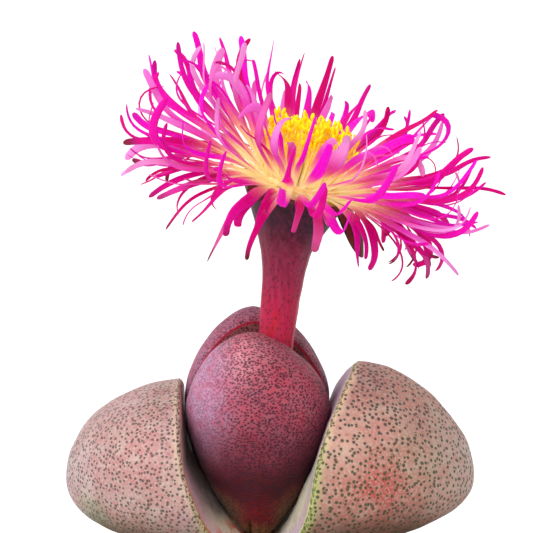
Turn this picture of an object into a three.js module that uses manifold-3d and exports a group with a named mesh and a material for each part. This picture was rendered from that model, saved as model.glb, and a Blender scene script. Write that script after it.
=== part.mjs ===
// A split rock in bloom: two pairs of stone-like leaves and one flower on a thick stalk, in a plain clay pot.
// Millimetres, +Z up. The origin is the centre of the pot's underside, and the front of the plant faces -Y.
import * as THREE from "three";
import { mergeVertices } from "three/addons/utils/BufferGeometryUtils.js";
import Module from "manifold-3d";

const wasm = await Module();
wasm.setup();

const { Vector3 } = THREE;
const turn = Math.PI * 2;
const degree = Math.PI / 180;
const goldenAngle = turn * 0.381966;
const fitGap = 0.3; // clear space left between pieces that touch on the real plant

// The pot, thrown in clay: a tapered wall under a straight band, and one drain hole.
const pot = {
  rimRadius: 42,
  height: 75,
  footRadius: 29,
  wall: 4,
  floor: 5,
  bandHeight: 16,
  bandStep: 2.2,
  edgeRadius: 1.2,
  drainRadius: 6,
  sides: 48,
};

// The soil fills the pot up to the grit, which is heaped up under the leaves and is rough all over.
const soilTop = 66;
const grit = {
  wallHeight: 72.4,
  heapHeight: 82,
  heapRadius: 21,
  sides: 54,
  rings: 10,
  roughness: 0.75,
  stones: 26,
  stoneRadius: 2.6,
  seed: 11,
};

// The crown is the short stem that carries every leaf, with the taproot below it.
const crown = {
  rimHeight: 86,
  rimRadius: 9.6,
  neckHeight: 79,
  neckRadius: 8.2,
  rootTop: 68,
  rootRadius: 4,
  tipHeight: 30,
  tipRadius: 0.9,
};

// Each leaf is a dome on a flat face. centre is the face's widest level, lean tips the face outwards,
// and back runs from that centre to the deepest point of the dome. footReach draws the face's foot in
// under the inner leaves, where a pair of leaves grows together, and topSpread bends its top outwards.
const leaves = {
  outer_leaf_left: {
    centre: [-14.4, 0.5, 95],
    facing: 180,
    lean: 8,
    halfWidth: 19,
    top: 18,
    bottom: 12.2,
    footReach: 3.4,
    topSpread: 0,
    back: [-22.4, 1, -1.8],
    topRoundness: 2.05,
    bottomRoundness: 1.9,
    domeRoundness: 1.68,
    peakShift: 0,
    belly: 0.7,
    rimInset: 0.015,
    colour: 0xb7958d,
  },
  outer_leaf_right: {
    centre: [8.7, 0.5, 95],
    facing: -2.5,
    lean: 9,
    halfWidth: 20,
    top: 21.4,
    bottom: 11.8,
    footReach: 2,
    topSpread: 4,
    back: [27.9, 1, -1.4],
    topRoundness: 1.95,
    bottomRoundness: 1.9,
    domeRoundness: 1.7,
    peakShift: 0,
    belly: 0.7,
    rimInset: 0.015,
    colour: 0xb08a7c,
  },
  inner_leaf_front: {
    centre: [-2, -3.8, 106.8],
    facing: 270,
    lean: 3,
    halfWidth: 12.9,
    top: 15.6,
    bottom: 21.2,
    footReach: 0,
    topSpread: 0,
    back: [0, -11.4, -1],
    topRoundness: 1.75,
    bottomRoundness: 1.62,
    domeRoundness: 1.9,
    peakShift: -2.6,
    belly: 2.4,
    rimInset: 0.05,
    colour: 0x8f4159,
  },
  inner_leaf_back: {
    centre: [-2.4, 3.6, 107.6],
    facing: 90,
    lean: 1.5,
    halfWidth: 12.7,
    top: 16.2,
    bottom: 21.6,
    footReach: 0,
    topSpread: 0,
    back: [0, 11.6, 1],
    topRoundness: 1.58,
    bottomRoundness: 1.6,
    domeRoundness: 2.05,
    peakShift: 2.6,
    belly: 3.4,
    rimInset: 0.095,
    colour: 0x8a4259,
  },
};
const leafSides = 28;
const leafDomeRings = 8;
const leafFaceRings = [0.97, 0.72, 0.4];
const leafRimHeight = 0.5; // how far the rounded rim stands in front of the face

// The flower's own frame: its origin is the centre of the calyx rim, and its +Z is the way the flower looks.
const flower = {
  centre: [4.3, -1.2, 147],
  tipRight: 16,
  tipForward: 8,
};

// The stalk widens into the calyx. Each pair is a distance below the rim and the radius there.
const stalk = {
  foot: [0.4, 0.2, 89.5],
  fissure: [1.7, 0, 119],
  middle: [3.4, -0.4, 134],
  widths: [
    [0, 9.7],
    [1.2, 9.5],
    [3.2, 8.6],
    [5.6, 7.4],
    [8.2, 6.1],
    [11.4, 5.0],
    [15, 4.4],
    [20.5, 3.85],
    [27, 3.5],
    [32, 3.3],
    [44, 2.6],
    [57, 1.8],
  ],
  sides: 22,
  lipWidth: 0.7,
  recess: 1,
};

// The calyx lobes are unequal: those on the low side of the tipped flower are the longest.
const sepals = {
  count: 5,
  firstAt: -30,
  rootRadius: 9.1,
  length: 6.2,
  lengthSpread: 3.4,
  halfWidth: 2.9,
  depth: 1.1,
  rise: -34,
  bend: -44,
};

// The petals stand in whorls on a collar inside the calyx rim, the lowest whorl first. A petal leaves
// the collar at its rise, turns by its bend on the way out, and its tip curls by its hook. Each pair is
// a middle value and how far a petal may differ from it.
const collar = { innerRadius: 6.5, outerRadius: 8.7, height: 3.2, sides: 40 };
const petalWhorls = [
  { count: 20, root: 7.7, height: 1.4, rise: [5, 5], bend: [-72, 24], hook: [-10, 50], length: [23, 3] },
  { count: 28, root: 7.4, height: 1.6, rise: [8, 9], bend: [-18, 18], hook: [75, 45], length: [29.5, 2.5] },
  { count: 28, root: 7.1, height: 2.1, rise: [24, 9], bend: [-2, 14], hook: [65, 45], length: [27.5, 2.5] },
  { count: 22, root: 6.8, height: 2.6, rise: [45, 9], bend: [-8, 14], hook: [-25, 55], length: [21, 3] },
];
const petal = {
  rootHalfWidth: 0.42,
  halfWidth: [1.05, 0.25],
  tipHalfWidth: 0.25,
  depth: 0.62,
  steps: 28,
  stepsPerStation: 4,
  sway: 12,
  twist: 70,
  leftLift: 8,
  frontLift: 2,
  steepest: 70,
  lowest: -92,
  frontCut: 0.42,
  seed: 2737,
};

// The stamens stand in a brush on a ring round the stigmas.
const stamens = {
  innerRadius: 3.5,
  outerRadius: 5.9,
  ringHeight: 1.1,
  count: 60,
  length: 11,
  lengthSpread: 1.8,
  innerLean: -3,
  outerLean: 16,
  threadRadius: 0.3,
  antherRadius: 0.62,
  antherLength: 1.6,
  seed: 77,
};
const stigmas = { padRadius: 3.1, padHeight: 1, count: 10, length: 5.4, lean: 9, radius: 0.42 };
const threadSink = 0.5; // how deep the threads and rays start in the ring or pad that carries them

// A repeatable stream of random numbers, so that the plant is the same each time it is grown.
function seededDraws(seed) {
  let state = seed >>> 0;
  return (low, high) => {
    state = (Math.imul(state, 1664525) + 1013904223) >>> 0;
    return low + (high - low) * (state / 2 ** 32);
  };
}

const { lerp } = THREE.MathUtils;
const smoothStep = (low, high, value) => THREE.MathUtils.smoothstep(value, low, high);
const vector = (list) => new Vector3(...list);

// A closed skin over rings of equal length, with a point in the middle of each end.
function skinOver(rings) {
  const sides = rings[0].length;
  const middleOf = (ring) =>
    ring.reduce((sum, point) => sum.add(point), new Vector3()).divideScalar(sides);
  const points = [middleOf(rings[0]), ...rings.flat(), middleOf(rings.at(-1))];
  const last = points.length - 1;
  const faces = [];
  for (let side = 0; side < sides; side++) {
    const next = (side + 1) % sides;
    faces.push(0, 1 + next, 1 + side);
    for (let ring = 0; ring + 1 < rings.length; ring++) {
      const near = 1 + ring * sides;
      const far = near + sides;
      faces.push(near + side, near + next, far + next);
      faces.push(near + side, far + next, far + side);
    }
    const end = last - sides;
    faces.push(last, end + side, end + next);
  }
  return pointsToGeometry(points, faces);
}

// The faces are turned round if they would point into the body.
function pointsToGeometry(points, faces) {
  let volume = 0;
  for (let i = 0; i < faces.length; i += 3) {
    const [a, b, c] = [points[faces[i]], points[faces[i + 1]], points[faces[i + 2]]];
    volume += a.dot(new Vector3().crossVectors(b, c));
  }
  const outward = volume > 0 ? faces : faces.toReversed();
  const geometry = new THREE.BufferGeometry().setFromPoints(points);
  return geometry.setIndex(outward);
}

function toSolid(geometry) {
  const bare = geometry.clone();
  bare.deleteAttribute("normal");
  bare.deleteAttribute("uv");
  const merged = mergeVertices(bare, 1e-4);
  const mesh = new wasm.Mesh({
    numProp: 3,
    vertProperties: merged.attributes.position.array,
    triVerts: new Uint32Array(merged.index.array),
  });
  return new wasm.Manifold(mesh);
}

function toGeometry(solid) {
  const { numProp, vertProperties, triVerts } = solid.getMesh();
  if (numProp !== 3) throw new Error("a solid holds more than positions");
  const geometry = new THREE.BufferGeometry();
  geometry.setAttribute("position", new THREE.BufferAttribute(vertProperties, 3));
  return geometry.setIndex([...triVerts]);
}

// The biggest body of a cut solid, without the loose scraps that a cut can leave.
function biggestBody(solid) {
  return solid.decompose().reduce((big, body) => (body.volume() > big.volume() ? body : big));
}

function fuse(solids) {
  while (solids.length > 1) {
    const pairs = [];
    for (let i = 0; i < solids.length; i += 2)
      pairs.push(i + 1 < solids.length ? solids[i].add(solids[i + 1]) : solids[i]);
    solids = pairs;
  }
  return biggestBody(solids[0]);
}

function lathe(profile, sides) {
  const points = profile.map(([radius, height]) => new THREE.Vector2(radius, height));
  return new THREE.LatheGeometry(points, sides).rotateX(Math.PI / 2);
}

// The pot's inner wall is a straight cone from the floor up to the lip.
const innerLipRadius = pot.rimRadius - pot.wall;
const innerFloorRadius = pot.footRadius - pot.wall + 0.5;
function innerRadiusAt(height) {
  const share = (height - pot.floor) / (pot.height - pot.floor);
  return lerp(innerFloorRadius, innerLipRadius, share);
}

function potGeometry() {
  const { rimRadius, height, footRadius, bandHeight, bandStep, edgeRadius, drainRadius } = pot;
  const underBand = height - bandHeight;
  const profile = [
    [drainRadius, 0],
    [footRadius - edgeRadius, 0],
    [footRadius, edgeRadius],
    [rimRadius - 0.6 - bandStep, underBand - 0.8],
    [rimRadius - 1.2, underBand],
    [rimRadius - 0.6, underBand + edgeRadius],
    [rimRadius, height - edgeRadius],
    [rimRadius - edgeRadius, height],
    [innerLipRadius + edgeRadius, height],
    [innerRadiusAt(height - edgeRadius), height - edgeRadius],
    [innerRadiusAt(pot.floor), pot.floor],
    [drainRadius, pot.floor],
    [drainRadius, 0],
  ];
  return lathe(profile, pot.sides);
}

// The crown's outline, grown by a margin, from the tip of the taproot up to its rim.
function crownProfile(margin) {
  const { rimHeight, rimRadius, neckHeight, neckRadius, rootTop, rootRadius, tipHeight, tipRadius } = crown;
  return [
    [0, tipHeight - margin],
    [tipRadius + margin, tipHeight - margin],
    [lerp(tipRadius, rootRadius, 0.45) + margin, 50],
    [rootRadius + margin, rootTop - 1],
    [neckRadius - 1.4 + margin, rootTop + 3.5],
    [neckRadius + margin, neckHeight - 1],
    [rimRadius + margin, rimHeight - 3.4],
    [rimRadius - 0.3 + margin, rimHeight - 0.8],
    [rimRadius - 1.4, rimHeight + margin],
    [0, rimHeight + margin],
  ];
}

function soilSolid() {
  const low = pot.floor + fitGap;
  const body = lathe(
    [
      [0, low],
      [innerRadiusAt(low) - fitGap, low],
      [innerRadiusAt(soilTop) - fitGap, soilTop],
      [0, soilTop],
    ],
    36,
  );
  // The root grows in a plain tapered hole.
  const hole = lathe(
    [
      [0, crown.tipHeight - 1],
      [crown.tipRadius + 0.6, crown.tipHeight - 1],
      [crown.rootRadius + 0.8, soilTop + 1],
      [0, soilTop + 1],
    ],
    16,
  );
  return toSolid(body).subtract(toSolid(hole));
}

// Height of the grit's surface between its stones.
function gritHeight(radius) {
  const edge = innerRadiusAt(grit.wallHeight);
  const fall = smoothStep(grit.heapRadius, edge, radius);
  return lerp(grit.heapHeight, grit.wallHeight, fall);
}

function gritSolid() {
  const low = soilTop + fitGap;
  const edge = innerRadiusAt(grit.wallHeight) - fitGap;
  const draw = seededDraws(grit.seed);
  const ringAt = (radius, height, rough) =>
    Array.from({ length: grit.sides }, (_, side) => {
      const angle = (side / grit.sides) * turn + (rough * draw(-0.5, 0.5)) / radius;
      const reach = radius + rough * draw(-1, 1);
      return new Vector3(reach * Math.cos(angle), reach * Math.sin(angle), height + rough * draw(-1, 1));
    });
  const rings = [ringAt(innerRadiusAt(low) - fitGap, low, 0), ringAt(edge, grit.wallHeight, 0)];
  for (let ring = 1; ring <= grit.rings; ring++) {
    const radius = lerp(edge, grit.heapRadius / 2, ring / grit.rings);
    rings.push(ringAt(radius, gritHeight(radius), grit.roughness));
  }
  const stones = Array.from({ length: grit.stones }, (_, i) => {
    const radius = lerp(grit.heapRadius, edge - grit.stoneRadius * 1.3, (i + 0.5) / grit.stones);
    const angle = i * goldenAngle + draw(-0.2, 0.2);
    const stone = new THREE.IcosahedronGeometry(grit.stoneRadius * draw(0.75, 1.2), 0);
    stone.scale(draw(0.85, 1.15), draw(0.85, 1.1), draw(0.6, 0.8));
    stone.rotateX(draw(-0.5, 0.5)).rotateY(draw(-0.5, 0.5)).rotateZ(draw(0, turn));
    stone.translate(radius * Math.cos(angle), radius * Math.sin(angle), gritHeight(radius) + 0.4);
    return toSolid(stone);
  });
  return fuse([toSolid(skinOver(rings)), ...stones]);
}

// A leaf's outline on its face, from a superellipse whose top can stand to one side.
function leafOutline(leaf, angle) {
  const across = Math.cos(angle);
  const along = Math.sin(angle);
  const power = 2 / (along > 0 ? leaf.topRoundness : leaf.bottomRoundness);
  const rise = Math.abs(along) ** power * (along > 0 ? leaf.top : -leaf.bottom);
  const shift = along > 0 ? leaf.peakShift * (rise / leaf.top) ** 2 : 0;
  return [Math.sign(across) * Math.abs(across) ** power * leaf.halfWidth + shift, rise];
}

// How far the face stands outwards of its plane at a place on it.
function faceShift(leaf, across, rise) {
  const curved = (leaf.top * 0.3 - rise) / (leaf.top * 0.3 + leaf.bottom);
  const towardsMiddle = 2 - (across / leaf.halfWidth) ** 2;
  const inwards = leaf.footReach * Math.max(0, curved) ** 1.2 * towardsMiddle;
  return leaf.topSpread * (Math.max(0, rise) / leaf.top) ** 2.4 - inwards;
}

// margin grows the leaf all round, for the space that it needs in its neighbours.
function leafSolid(leaf, margin) {
  const facing = leaf.facing * degree;
  const lean = leaf.lean * degree;
  const outward = new Vector3(Math.cos(facing), Math.sin(facing), 0);
  const sideways = new Vector3(-Math.sin(facing), Math.cos(facing), 0);
  const upward = new Vector3(0, 0, Math.cos(lean)).addScaledVector(outward, Math.sin(lean));
  const back = vector(leaf.back);
  const depth = back.length();
  const ringAt = (share, level, sink) => {
    const grown = share + (margin * share) / leaf.halfWidth;
    return Array.from({ length: leafSides }, (_, side) => {
      const [across, rise] = leafOutline(leaf, (side / leafSides) * turn);
      return vector(leaf.centre)
        .addScaledVector(sideways, across * grown)
        .addScaledVector(upward, rise * grown)
        .addScaledVector(back, level * (1 + margin / depth))
        .addScaledVector(outward, sink + faceShift(leaf, across * share, rise * share) * (1 - level));
    });
  };
  const rings = [];
  const power = 2 / leaf.domeRoundness;
  for (let ring = 1; ring <= leafDomeRings; ring++) {
    const angle = (ring / leafDomeRings) * (Math.PI / 2);
    const level = Math.max(0, Math.cos(angle)) ** power;
    rings.push(ringAt(Math.sin(angle) ** power, level, leaf.belly));
  }
  rings.push(ringAt(1 - leaf.rimInset, 0, leafRimHeight - margin));
  for (const share of leafFaceRings) rings.push(ringAt(share - leaf.rimInset, 0, -margin));
  return toSolid(skinOver(rings));
}

const flowerTurn = new THREE.Euler(flower.tipForward * degree, flower.tipRight * degree, 0, "YXZ");
const flowerAxis = new Vector3(0, 0, 1).applyEuler(flowerTurn);

// The stalk follows a curve from the crown, up through the split between the inner leaves.
function stalkSolid() {
  const centre = vector(flower.centre);
  const underCalyx = centre.clone().addScaledVector(flowerAxis, -6);
  const curve = new THREE.CatmullRomCurve3([
    vector(stalk.foot), vector(stalk.fissure), vector(stalk.middle), underCalyx, centre,
  ]);
  const length = curve.getLength();
  const ringOf = (middle, along, radius) => {
    const right = new Vector3(1, 0, 0).addScaledVector(along, -along.x).normalize();
    const far = new Vector3().crossVectors(along, right);
    return Array.from({ length: stalk.sides }, (_, side) => {
      const angle = (side / stalk.sides) * turn;
      return middle.clone()
        .addScaledVector(right, radius * Math.cos(angle))
        .addScaledVector(far, radius * Math.sin(angle));
    });
  };
  const rings = stalk.widths.map(([below, radius]) => {
    const share = Math.max(0, 1 - below / length);
    return ringOf(curve.getPointAt(share), curve.getTangentAt(share), radius);
  });
  rings.reverse();
  const lip = stalk.widths[0][1] - stalk.lipWidth;
  const sunk = centre.clone().addScaledVector(flowerAxis, -stalk.recess);
  rings.push(ringOf(centre, flowerAxis, lip));
  rings.push(ringOf(sunk, flowerAxis, lip - 0.1));
  return toSolid(skinOver(rings));
}

// A blade with a flat upper face and a keel below, along a path of stations.
function bladeSolid(stations) {
  const rings = stations.map(({ at, across, normal, halfWidth, depth }) => [
    at.clone().addScaledVector(across, -halfWidth),
    at.clone().addScaledVector(across, halfWidth),
    at.clone().addScaledVector(normal, -depth),
  ]);
  const [a, b, c] = rings[0].keys();
  const faces = [a, c, b];
  for (let ring = 0; ring + 1 < rings.length; ring++)
    for (let side = 0; side < 3; side++) {
      const near = ring * 3 + side;
      const next = ring * 3 + ((side + 1) % 3);
      faces.push(near, next, next + 3, near, next + 3, near + 3);
    }
  const end = (rings.length - 1) * 3;
  faces.push(end, end + 1, end + 2);
  return toSolid(pointsToGeometry(rings.flat(), faces));
}

// The stations of a blade that starts on a circle in the flower's frame and climbs, bends and hooks.
function bladeStations(blade) {
  const { angle, root, height, length, rise, bend, hook, sway, twist, steps, stepsPerStation } = blade;
  const at = new Vector3(root * Math.cos(angle), root * Math.sin(angle), height);
  const stations = [];
  for (let step = 0; step <= steps; step++) {
    const share = step / steps;
    const heading = angle + sway * degree * share ** 2;
    const climb = (rise + bend * share ** 1.4 + hook * smoothStep(0.55, 1, share)) * degree;
    const outward = new Vector3(Math.cos(heading), Math.sin(heading), 0);
    const along = outward.clone().multiplyScalar(Math.cos(climb)).setZ(Math.sin(climb));
    const across = new Vector3(-outward.y, outward.x, 0).applyAxisAngle(along, -twist * degree * share);
    const normal = new Vector3().crossVectors(along, across);
    const halfWidth = blade.halfWidthAt(share);
    if (step % stepsPerStation === 0)
      stations.push({ at: at.clone(), across, normal, halfWidth, depth: blade.depth });
    at.addScaledVector(along, length / steps);
  }
  return stations;
}

const sepalAngle = (i) => (sepals.firstAt + (360 * i) / sepals.count) * degree;

function sepalSolids() {
  return Array.from({ length: sepals.count }, (_, i) =>
    bladeSolid(
      bladeStations({
        angle: sepalAngle(i),
        root: sepals.rootRadius,
        height: -0.25,
        length: sepals.length + sepals.lengthSpread * Math.cos(sepalAngle(i)),
        rise: sepals.rise,
        bend: sepals.bend,
        hook: 0,
        sway: 0,
        twist: 0,
        steps: 5,
        stepsPerStation: 1,
        depth: sepals.depth,
        halfWidthAt: (share) => sepals.halfWidth * Math.sqrt(1.03 - share),
      }),
    ),
  );
}

// A petal is narrow at its root, widest past its middle and pointed at its tip.
function petalHalfWidth(share, fullWidth) {
  const widened = lerp(petal.rootHalfWidth, fullWidth, smoothStep(0.05, 0.6, share));
  return lerp(widened, petal.tipHalfWidth, smoothStep(0.72, 1, share));
}

// The lowest petals hang short at the front of the flower, and those on its high side stand steeper.
function petalSolid(level, whorl, i, draw) {
  const around = ([middle, spread]) => middle + draw(-1, 1) * spread;
  const angle = ((i + 0.37 * level + draw(-0.3, 0.3)) * turn) / whorl.count;
  const towardsFront = Math.max(0, -Math.sin(angle));
  const towardsLeft = Math.max(0, -Math.cos(angle));
  const fullWidth = around(petal.halfWidth);
  const frontCut = level === 0 ? petal.frontCut * towardsFront ** 2 : 0;
  const length = around(whorl.length) * (1 - frontCut);
  const rise = around(whorl.rise) + petal.frontLift * towardsFront + petal.leftLift * towardsLeft;
  const bend = around(whorl.bend);
  const steepRise = Math.min(rise, petal.steepest - Math.max(0, bend));
  const hook = Math.max(around(whorl.hook), petal.lowest - steepRise - bend);
  return bladeSolid(
    bladeStations({
      angle,
      root: whorl.root,
      height: whorl.height,
      length,
      rise: steepRise,
      bend,
      hook,
      sway: around([0, petal.sway]),
      twist: around([0, petal.twist]),
      steps: petal.steps,
      stepsPerStation: petal.stepsPerStation,
      depth: petal.depth,
      halfWidthAt: (share) => petalHalfWidth(share, fullWidth),
    }),
  );
}

function ringSolid(inner, outer, low, high, sides) {
  return toSolid(lathe([[inner, low], [outer, low], [outer, high], [inner, high], [inner, low]], sides));
}

// The calyx, grown by the fit gap, in the flower's frame, down to where the stalk starts to curve.
function calyxSpace() {
  const straight = 16;
  const outside = stalk.widths
    .filter(([below]) => below < straight)
    .map(([below, radius]) => [radius + fitGap, -below])
    .reverse();
  const insideRadius = collar.outerRadius + 0.05;
  const floor = -stalk.recess + fitGap - 0.05;
  const inside = [[insideRadius, fitGap], [insideRadius, floor], [0, floor]];
  const profile = [[0, outside[0][1]], ...outside, [stalk.widths[0][1], fitGap], ...inside];
  return toSolid(lathe(profile, stalk.sides));
}

// The space of the stamens' brush, which widens upwards.
function brushSpace() {
  const { outerRadius, length, lengthSpread, outerLean, antherRadius, ringHeight } = stamens;
  const tall = (length + lengthSpread) * Math.cos(outerLean * degree) + ringHeight;
  const wide = outerRadius + tall * Math.tan(outerLean * degree) + antherRadius;
  const low = -stalk.recess;
  return toSolid(lathe([[0, low], [outerRadius + fitGap, low], [wide, tall], [0, tall]], 24));
}

function petalsSolid() {
  const floor = -stalk.recess + fitGap;
  const ring = ringSolid(collar.innerRadius, collar.outerRadius, floor, floor + collar.height, collar.sides);
  const draw = seededDraws(petal.seed);
  const petals = petalWhorls.flatMap((whorl, level) =>
    Array.from({ length: whorl.count }, (_, i) => petalSolid(level, whorl, i, draw).subtract(brushSpace())),
  );
  return biggestBody(fuse([ring, ...petals]).subtract(calyxSpace()));
}

// A thin tapered thread that leans outwards, with an optional swelling at its end.
function threadSolid({ root, lean, length, radii, sides }) {
  const along = new Vector3(Math.sin(lean), 0, Math.cos(lean));
  const right = new Vector3(Math.cos(lean), 0, -Math.sin(lean));
  const rings = radii.map(([share, radius]) =>
    Array.from({ length: sides }, (_, side) => {
      const angle = (side / sides) * turn;
      return new Vector3(root, 0, 0)
        .addScaledVector(along, share * length)
        .addScaledVector(right, radius * Math.cos(angle))
        .add(new Vector3(0, radius * Math.sin(angle), 0));
    }),
  );
  return skinOver(rings);
}

function stamensSolid() {
  const floor = -stalk.recess + fitGap;
  const { innerRadius, outerRadius, ringHeight, count, threadRadius, antherRadius } = stamens;
  const ring = ringSolid(innerRadius, outerRadius, floor, floor + ringHeight, 24);
  const draw = seededDraws(stamens.seed);
  const threads = Array.from({ length: count }, (_, i) => {
    const share = (i + 0.5) / count;
    const length = stamens.length + draw(-1, 1) * stamens.lengthSpread;
    const antherFrom = 1 - stamens.antherLength / length;
    const thread = threadSolid({
      root: lerp(innerRadius + 0.5, outerRadius - 0.5, share),
      lean: lerp(stamens.innerLean, stamens.outerLean, share) * degree,
      length,
      radii: [
        [0, threadRadius],
        [antherFrom, threadRadius],
        [antherFrom + 0.04, antherRadius],
        [1, antherRadius * 0.8],
      ],
      sides: 3,
    });
    thread.rotateZ(i * goldenAngle).translate(0, 0, floor + ringHeight - threadSink);
    return toSolid(thread);
  });
  return fuse([ring, ...threads]);
}

function stigmasSolid() {
  const floor = -stalk.recess + fitGap;
  const { padRadius, padHeight, count, length, radius, lean } = stigmas;
  const padTop = floor + padHeight;
  const pad = toSolid(lathe([[0, floor], [padRadius, floor], [padRadius - 0.6, padTop], [0, padTop]], 20));
  const rays = Array.from({ length: count }, (_, i) => {
    const ray = threadSolid({
      root: padRadius * 0.45, lean: lean * degree, length,
      radii: [[0, radius], [0.6, radius * 0.85], [1, radius * 0.35]], sides: 4,
    });
    ray.rotateZ((i / count) * turn).translate(0, 0, padTop - threadSink);
    return toSolid(ray);
  });
  return fuse([pad, ...rays]);
}

function named(name, solid, colour, roughness) {
  const geometry = solid.isBufferGeometry ? solid : toGeometry(solid);
  const material = new THREE.MeshStandardMaterial({ color: colour, roughness, metalness: 0 });
  const mesh = new THREE.Mesh(geometry, material);
  mesh.name = name;
  return mesh;
}

// Leaves are shaped first, and then each is hollowed where a neighbour presses on it.
const shapeLeaves = (margin) =>
  Object.fromEntries(Object.entries(leaves).map(([name, leaf]) => [name, leafSolid(leaf, margin)]));
const wholeLeaf = shapeLeaves(0);
const spaceFor = shapeLeaves(fitGap);
const innerSpace = spaceFor.inner_leaf_front.add(spaceFor.inner_leaf_back);
const outerSpace = spaceFor.outer_leaf_left.add(spaceFor.outer_leaf_right);
const crownSpace = toSolid(lathe(crownProfile(fitGap), 24));
const crownSolid = toSolid(lathe(crownProfile(0), 24)).subtract(innerSpace);

const plant = new THREE.Group();
plant.add(named("pot", potGeometry(), 0xb9643c, 0.9));
plant.add(named("soil", soilSolid(), 0x3b2c22, 1));
plant.add(named("grit", biggestBody(gritSolid().subtract(crownSpace).subtract(outerSpace)), 0xa89a86, 0.9));
plant.add(named("crown_and_root", biggestBody(crownSolid), 0xc9c79b, 0.6));
for (const [name, leaf] of Object.entries(leaves)) {
  const outer = name.startsWith("outer");
  const shaped = outer ? wholeLeaf[name].subtract(crownSpace).subtract(innerSpace) : wholeLeaf[name];
  plant.add(named(name, biggestBody(shaped), leaf.colour, 0.55));
}

const bloom = new THREE.Group();
bloom.position.set(...flower.centre);
bloom.rotation.copy(flowerTurn);
bloom.add(named("petals", petalsSolid(), 0xe6149a, 0.5));
bloom.add(named("stamens", stamensSolid(), 0xf7c600, 0.7));
bloom.add(named("stigmas", stigmasSolid(), 0xd9b84a, 0.7));
plant.add(bloom);

// The sepals grow from the calyx, so they belong to the stalk.
bloom.updateMatrix();
const sepalsInPlace = sepalSolids().map((solid) => toSolid(toGeometry(solid).applyMatrix4(bloom.matrix)));
plant.add(named("flower_stalk", fuse([stalkSolid(), ...sepalsInPlace]), 0x9b2f4f, 0.5));

export default plant;
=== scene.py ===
import math

import bmesh
import bpy
import numpy as np
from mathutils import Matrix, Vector, noise
from mathutils.bvhtree import BVHTree


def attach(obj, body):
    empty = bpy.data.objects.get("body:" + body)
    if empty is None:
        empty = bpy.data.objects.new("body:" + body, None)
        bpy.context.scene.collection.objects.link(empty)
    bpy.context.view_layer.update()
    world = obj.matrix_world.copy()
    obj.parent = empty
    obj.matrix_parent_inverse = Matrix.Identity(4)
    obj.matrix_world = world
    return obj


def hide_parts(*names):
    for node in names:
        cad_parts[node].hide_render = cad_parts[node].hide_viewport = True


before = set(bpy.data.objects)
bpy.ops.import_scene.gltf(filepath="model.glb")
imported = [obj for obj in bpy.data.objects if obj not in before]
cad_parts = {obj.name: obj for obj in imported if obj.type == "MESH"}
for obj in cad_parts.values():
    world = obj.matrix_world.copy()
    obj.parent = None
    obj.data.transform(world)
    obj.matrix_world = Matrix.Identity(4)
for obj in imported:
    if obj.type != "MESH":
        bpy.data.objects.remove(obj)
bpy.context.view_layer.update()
scene = bpy.context.scene

# Sizes below are in millimetres and degrees. Points turn into metres when a mesh is made of them.
# Colours are screen values from 0 to 255, which mix turns into the linear values that nodes take.
mm = 0.001
degree = math.pi / 180
turn = 2 * math.pi
goldenAngle = turn * 0.381966


def seededDraws(seed):
    state = seed

    def draw(low, high):
        nonlocal state
        state = (state * 1664525 + 1013904223) % 2**32
        return low + (high - low) * state / 2**32

    return draw


def lerp(start, end, share):
    return start + (end - start) * share


def smoothStep(low, high, value):
    share = np.clip((np.asarray(value, float) - low) / (high - low), 0, 1)
    return share * share * (3 - 2 * share)


def unit(vectors):
    return vectors / np.linalg.norm(vectors, axis=-1, keepdims=True)


def linear(shade):
    screen = [value / 255 for value in shade]
    return (*(c / 12.92 if c <= 0.04045 else ((c + 0.055) / 1.055) ** 2.4 for c in screen), 1.0)


# Adds nodes to a tree. A key with a capital names a socket, with _ for a space. Other keys are settings.
class NodeMaker:
    def __init__(self, tree):
        self.tree = tree

    def feed(self, socket, value):
        if isinstance(value, bpy.types.NodeSocket):
            self.tree.links.new(value, socket)
        else:
            socket.default_value = value

    def node(self, kind, *values, output=0, **named):
        made = self.tree.nodes.new(kind)
        for key, value in named.items():
            if key[0].islower():
                setattr(made, key, value)
        for index, value in enumerate(values):
            self.feed(made.inputs[index], value)
        for key, value in named.items():
            if key[0].isupper():
                name = key.replace("_", " ")
                self.feed(next(s for s in made.inputs if s.name == name and s.enabled), value)
        return made.outputs if output is None else made.outputs[output]

    def maths(self, operation, *values):
        return self.node("ShaderNodeMath", *values, operation=operation)

    def plus(self, first, second):
        return self.maths("ADD", first, second)

    def times(self, first, second):
        return self.maths("MULTIPLY", first, second)

    def vectors(self, operation, *values, output="Vector", **named):
        return self.node("ShaderNodeVectorMath", *values, output=output, operation=operation, **named)


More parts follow.
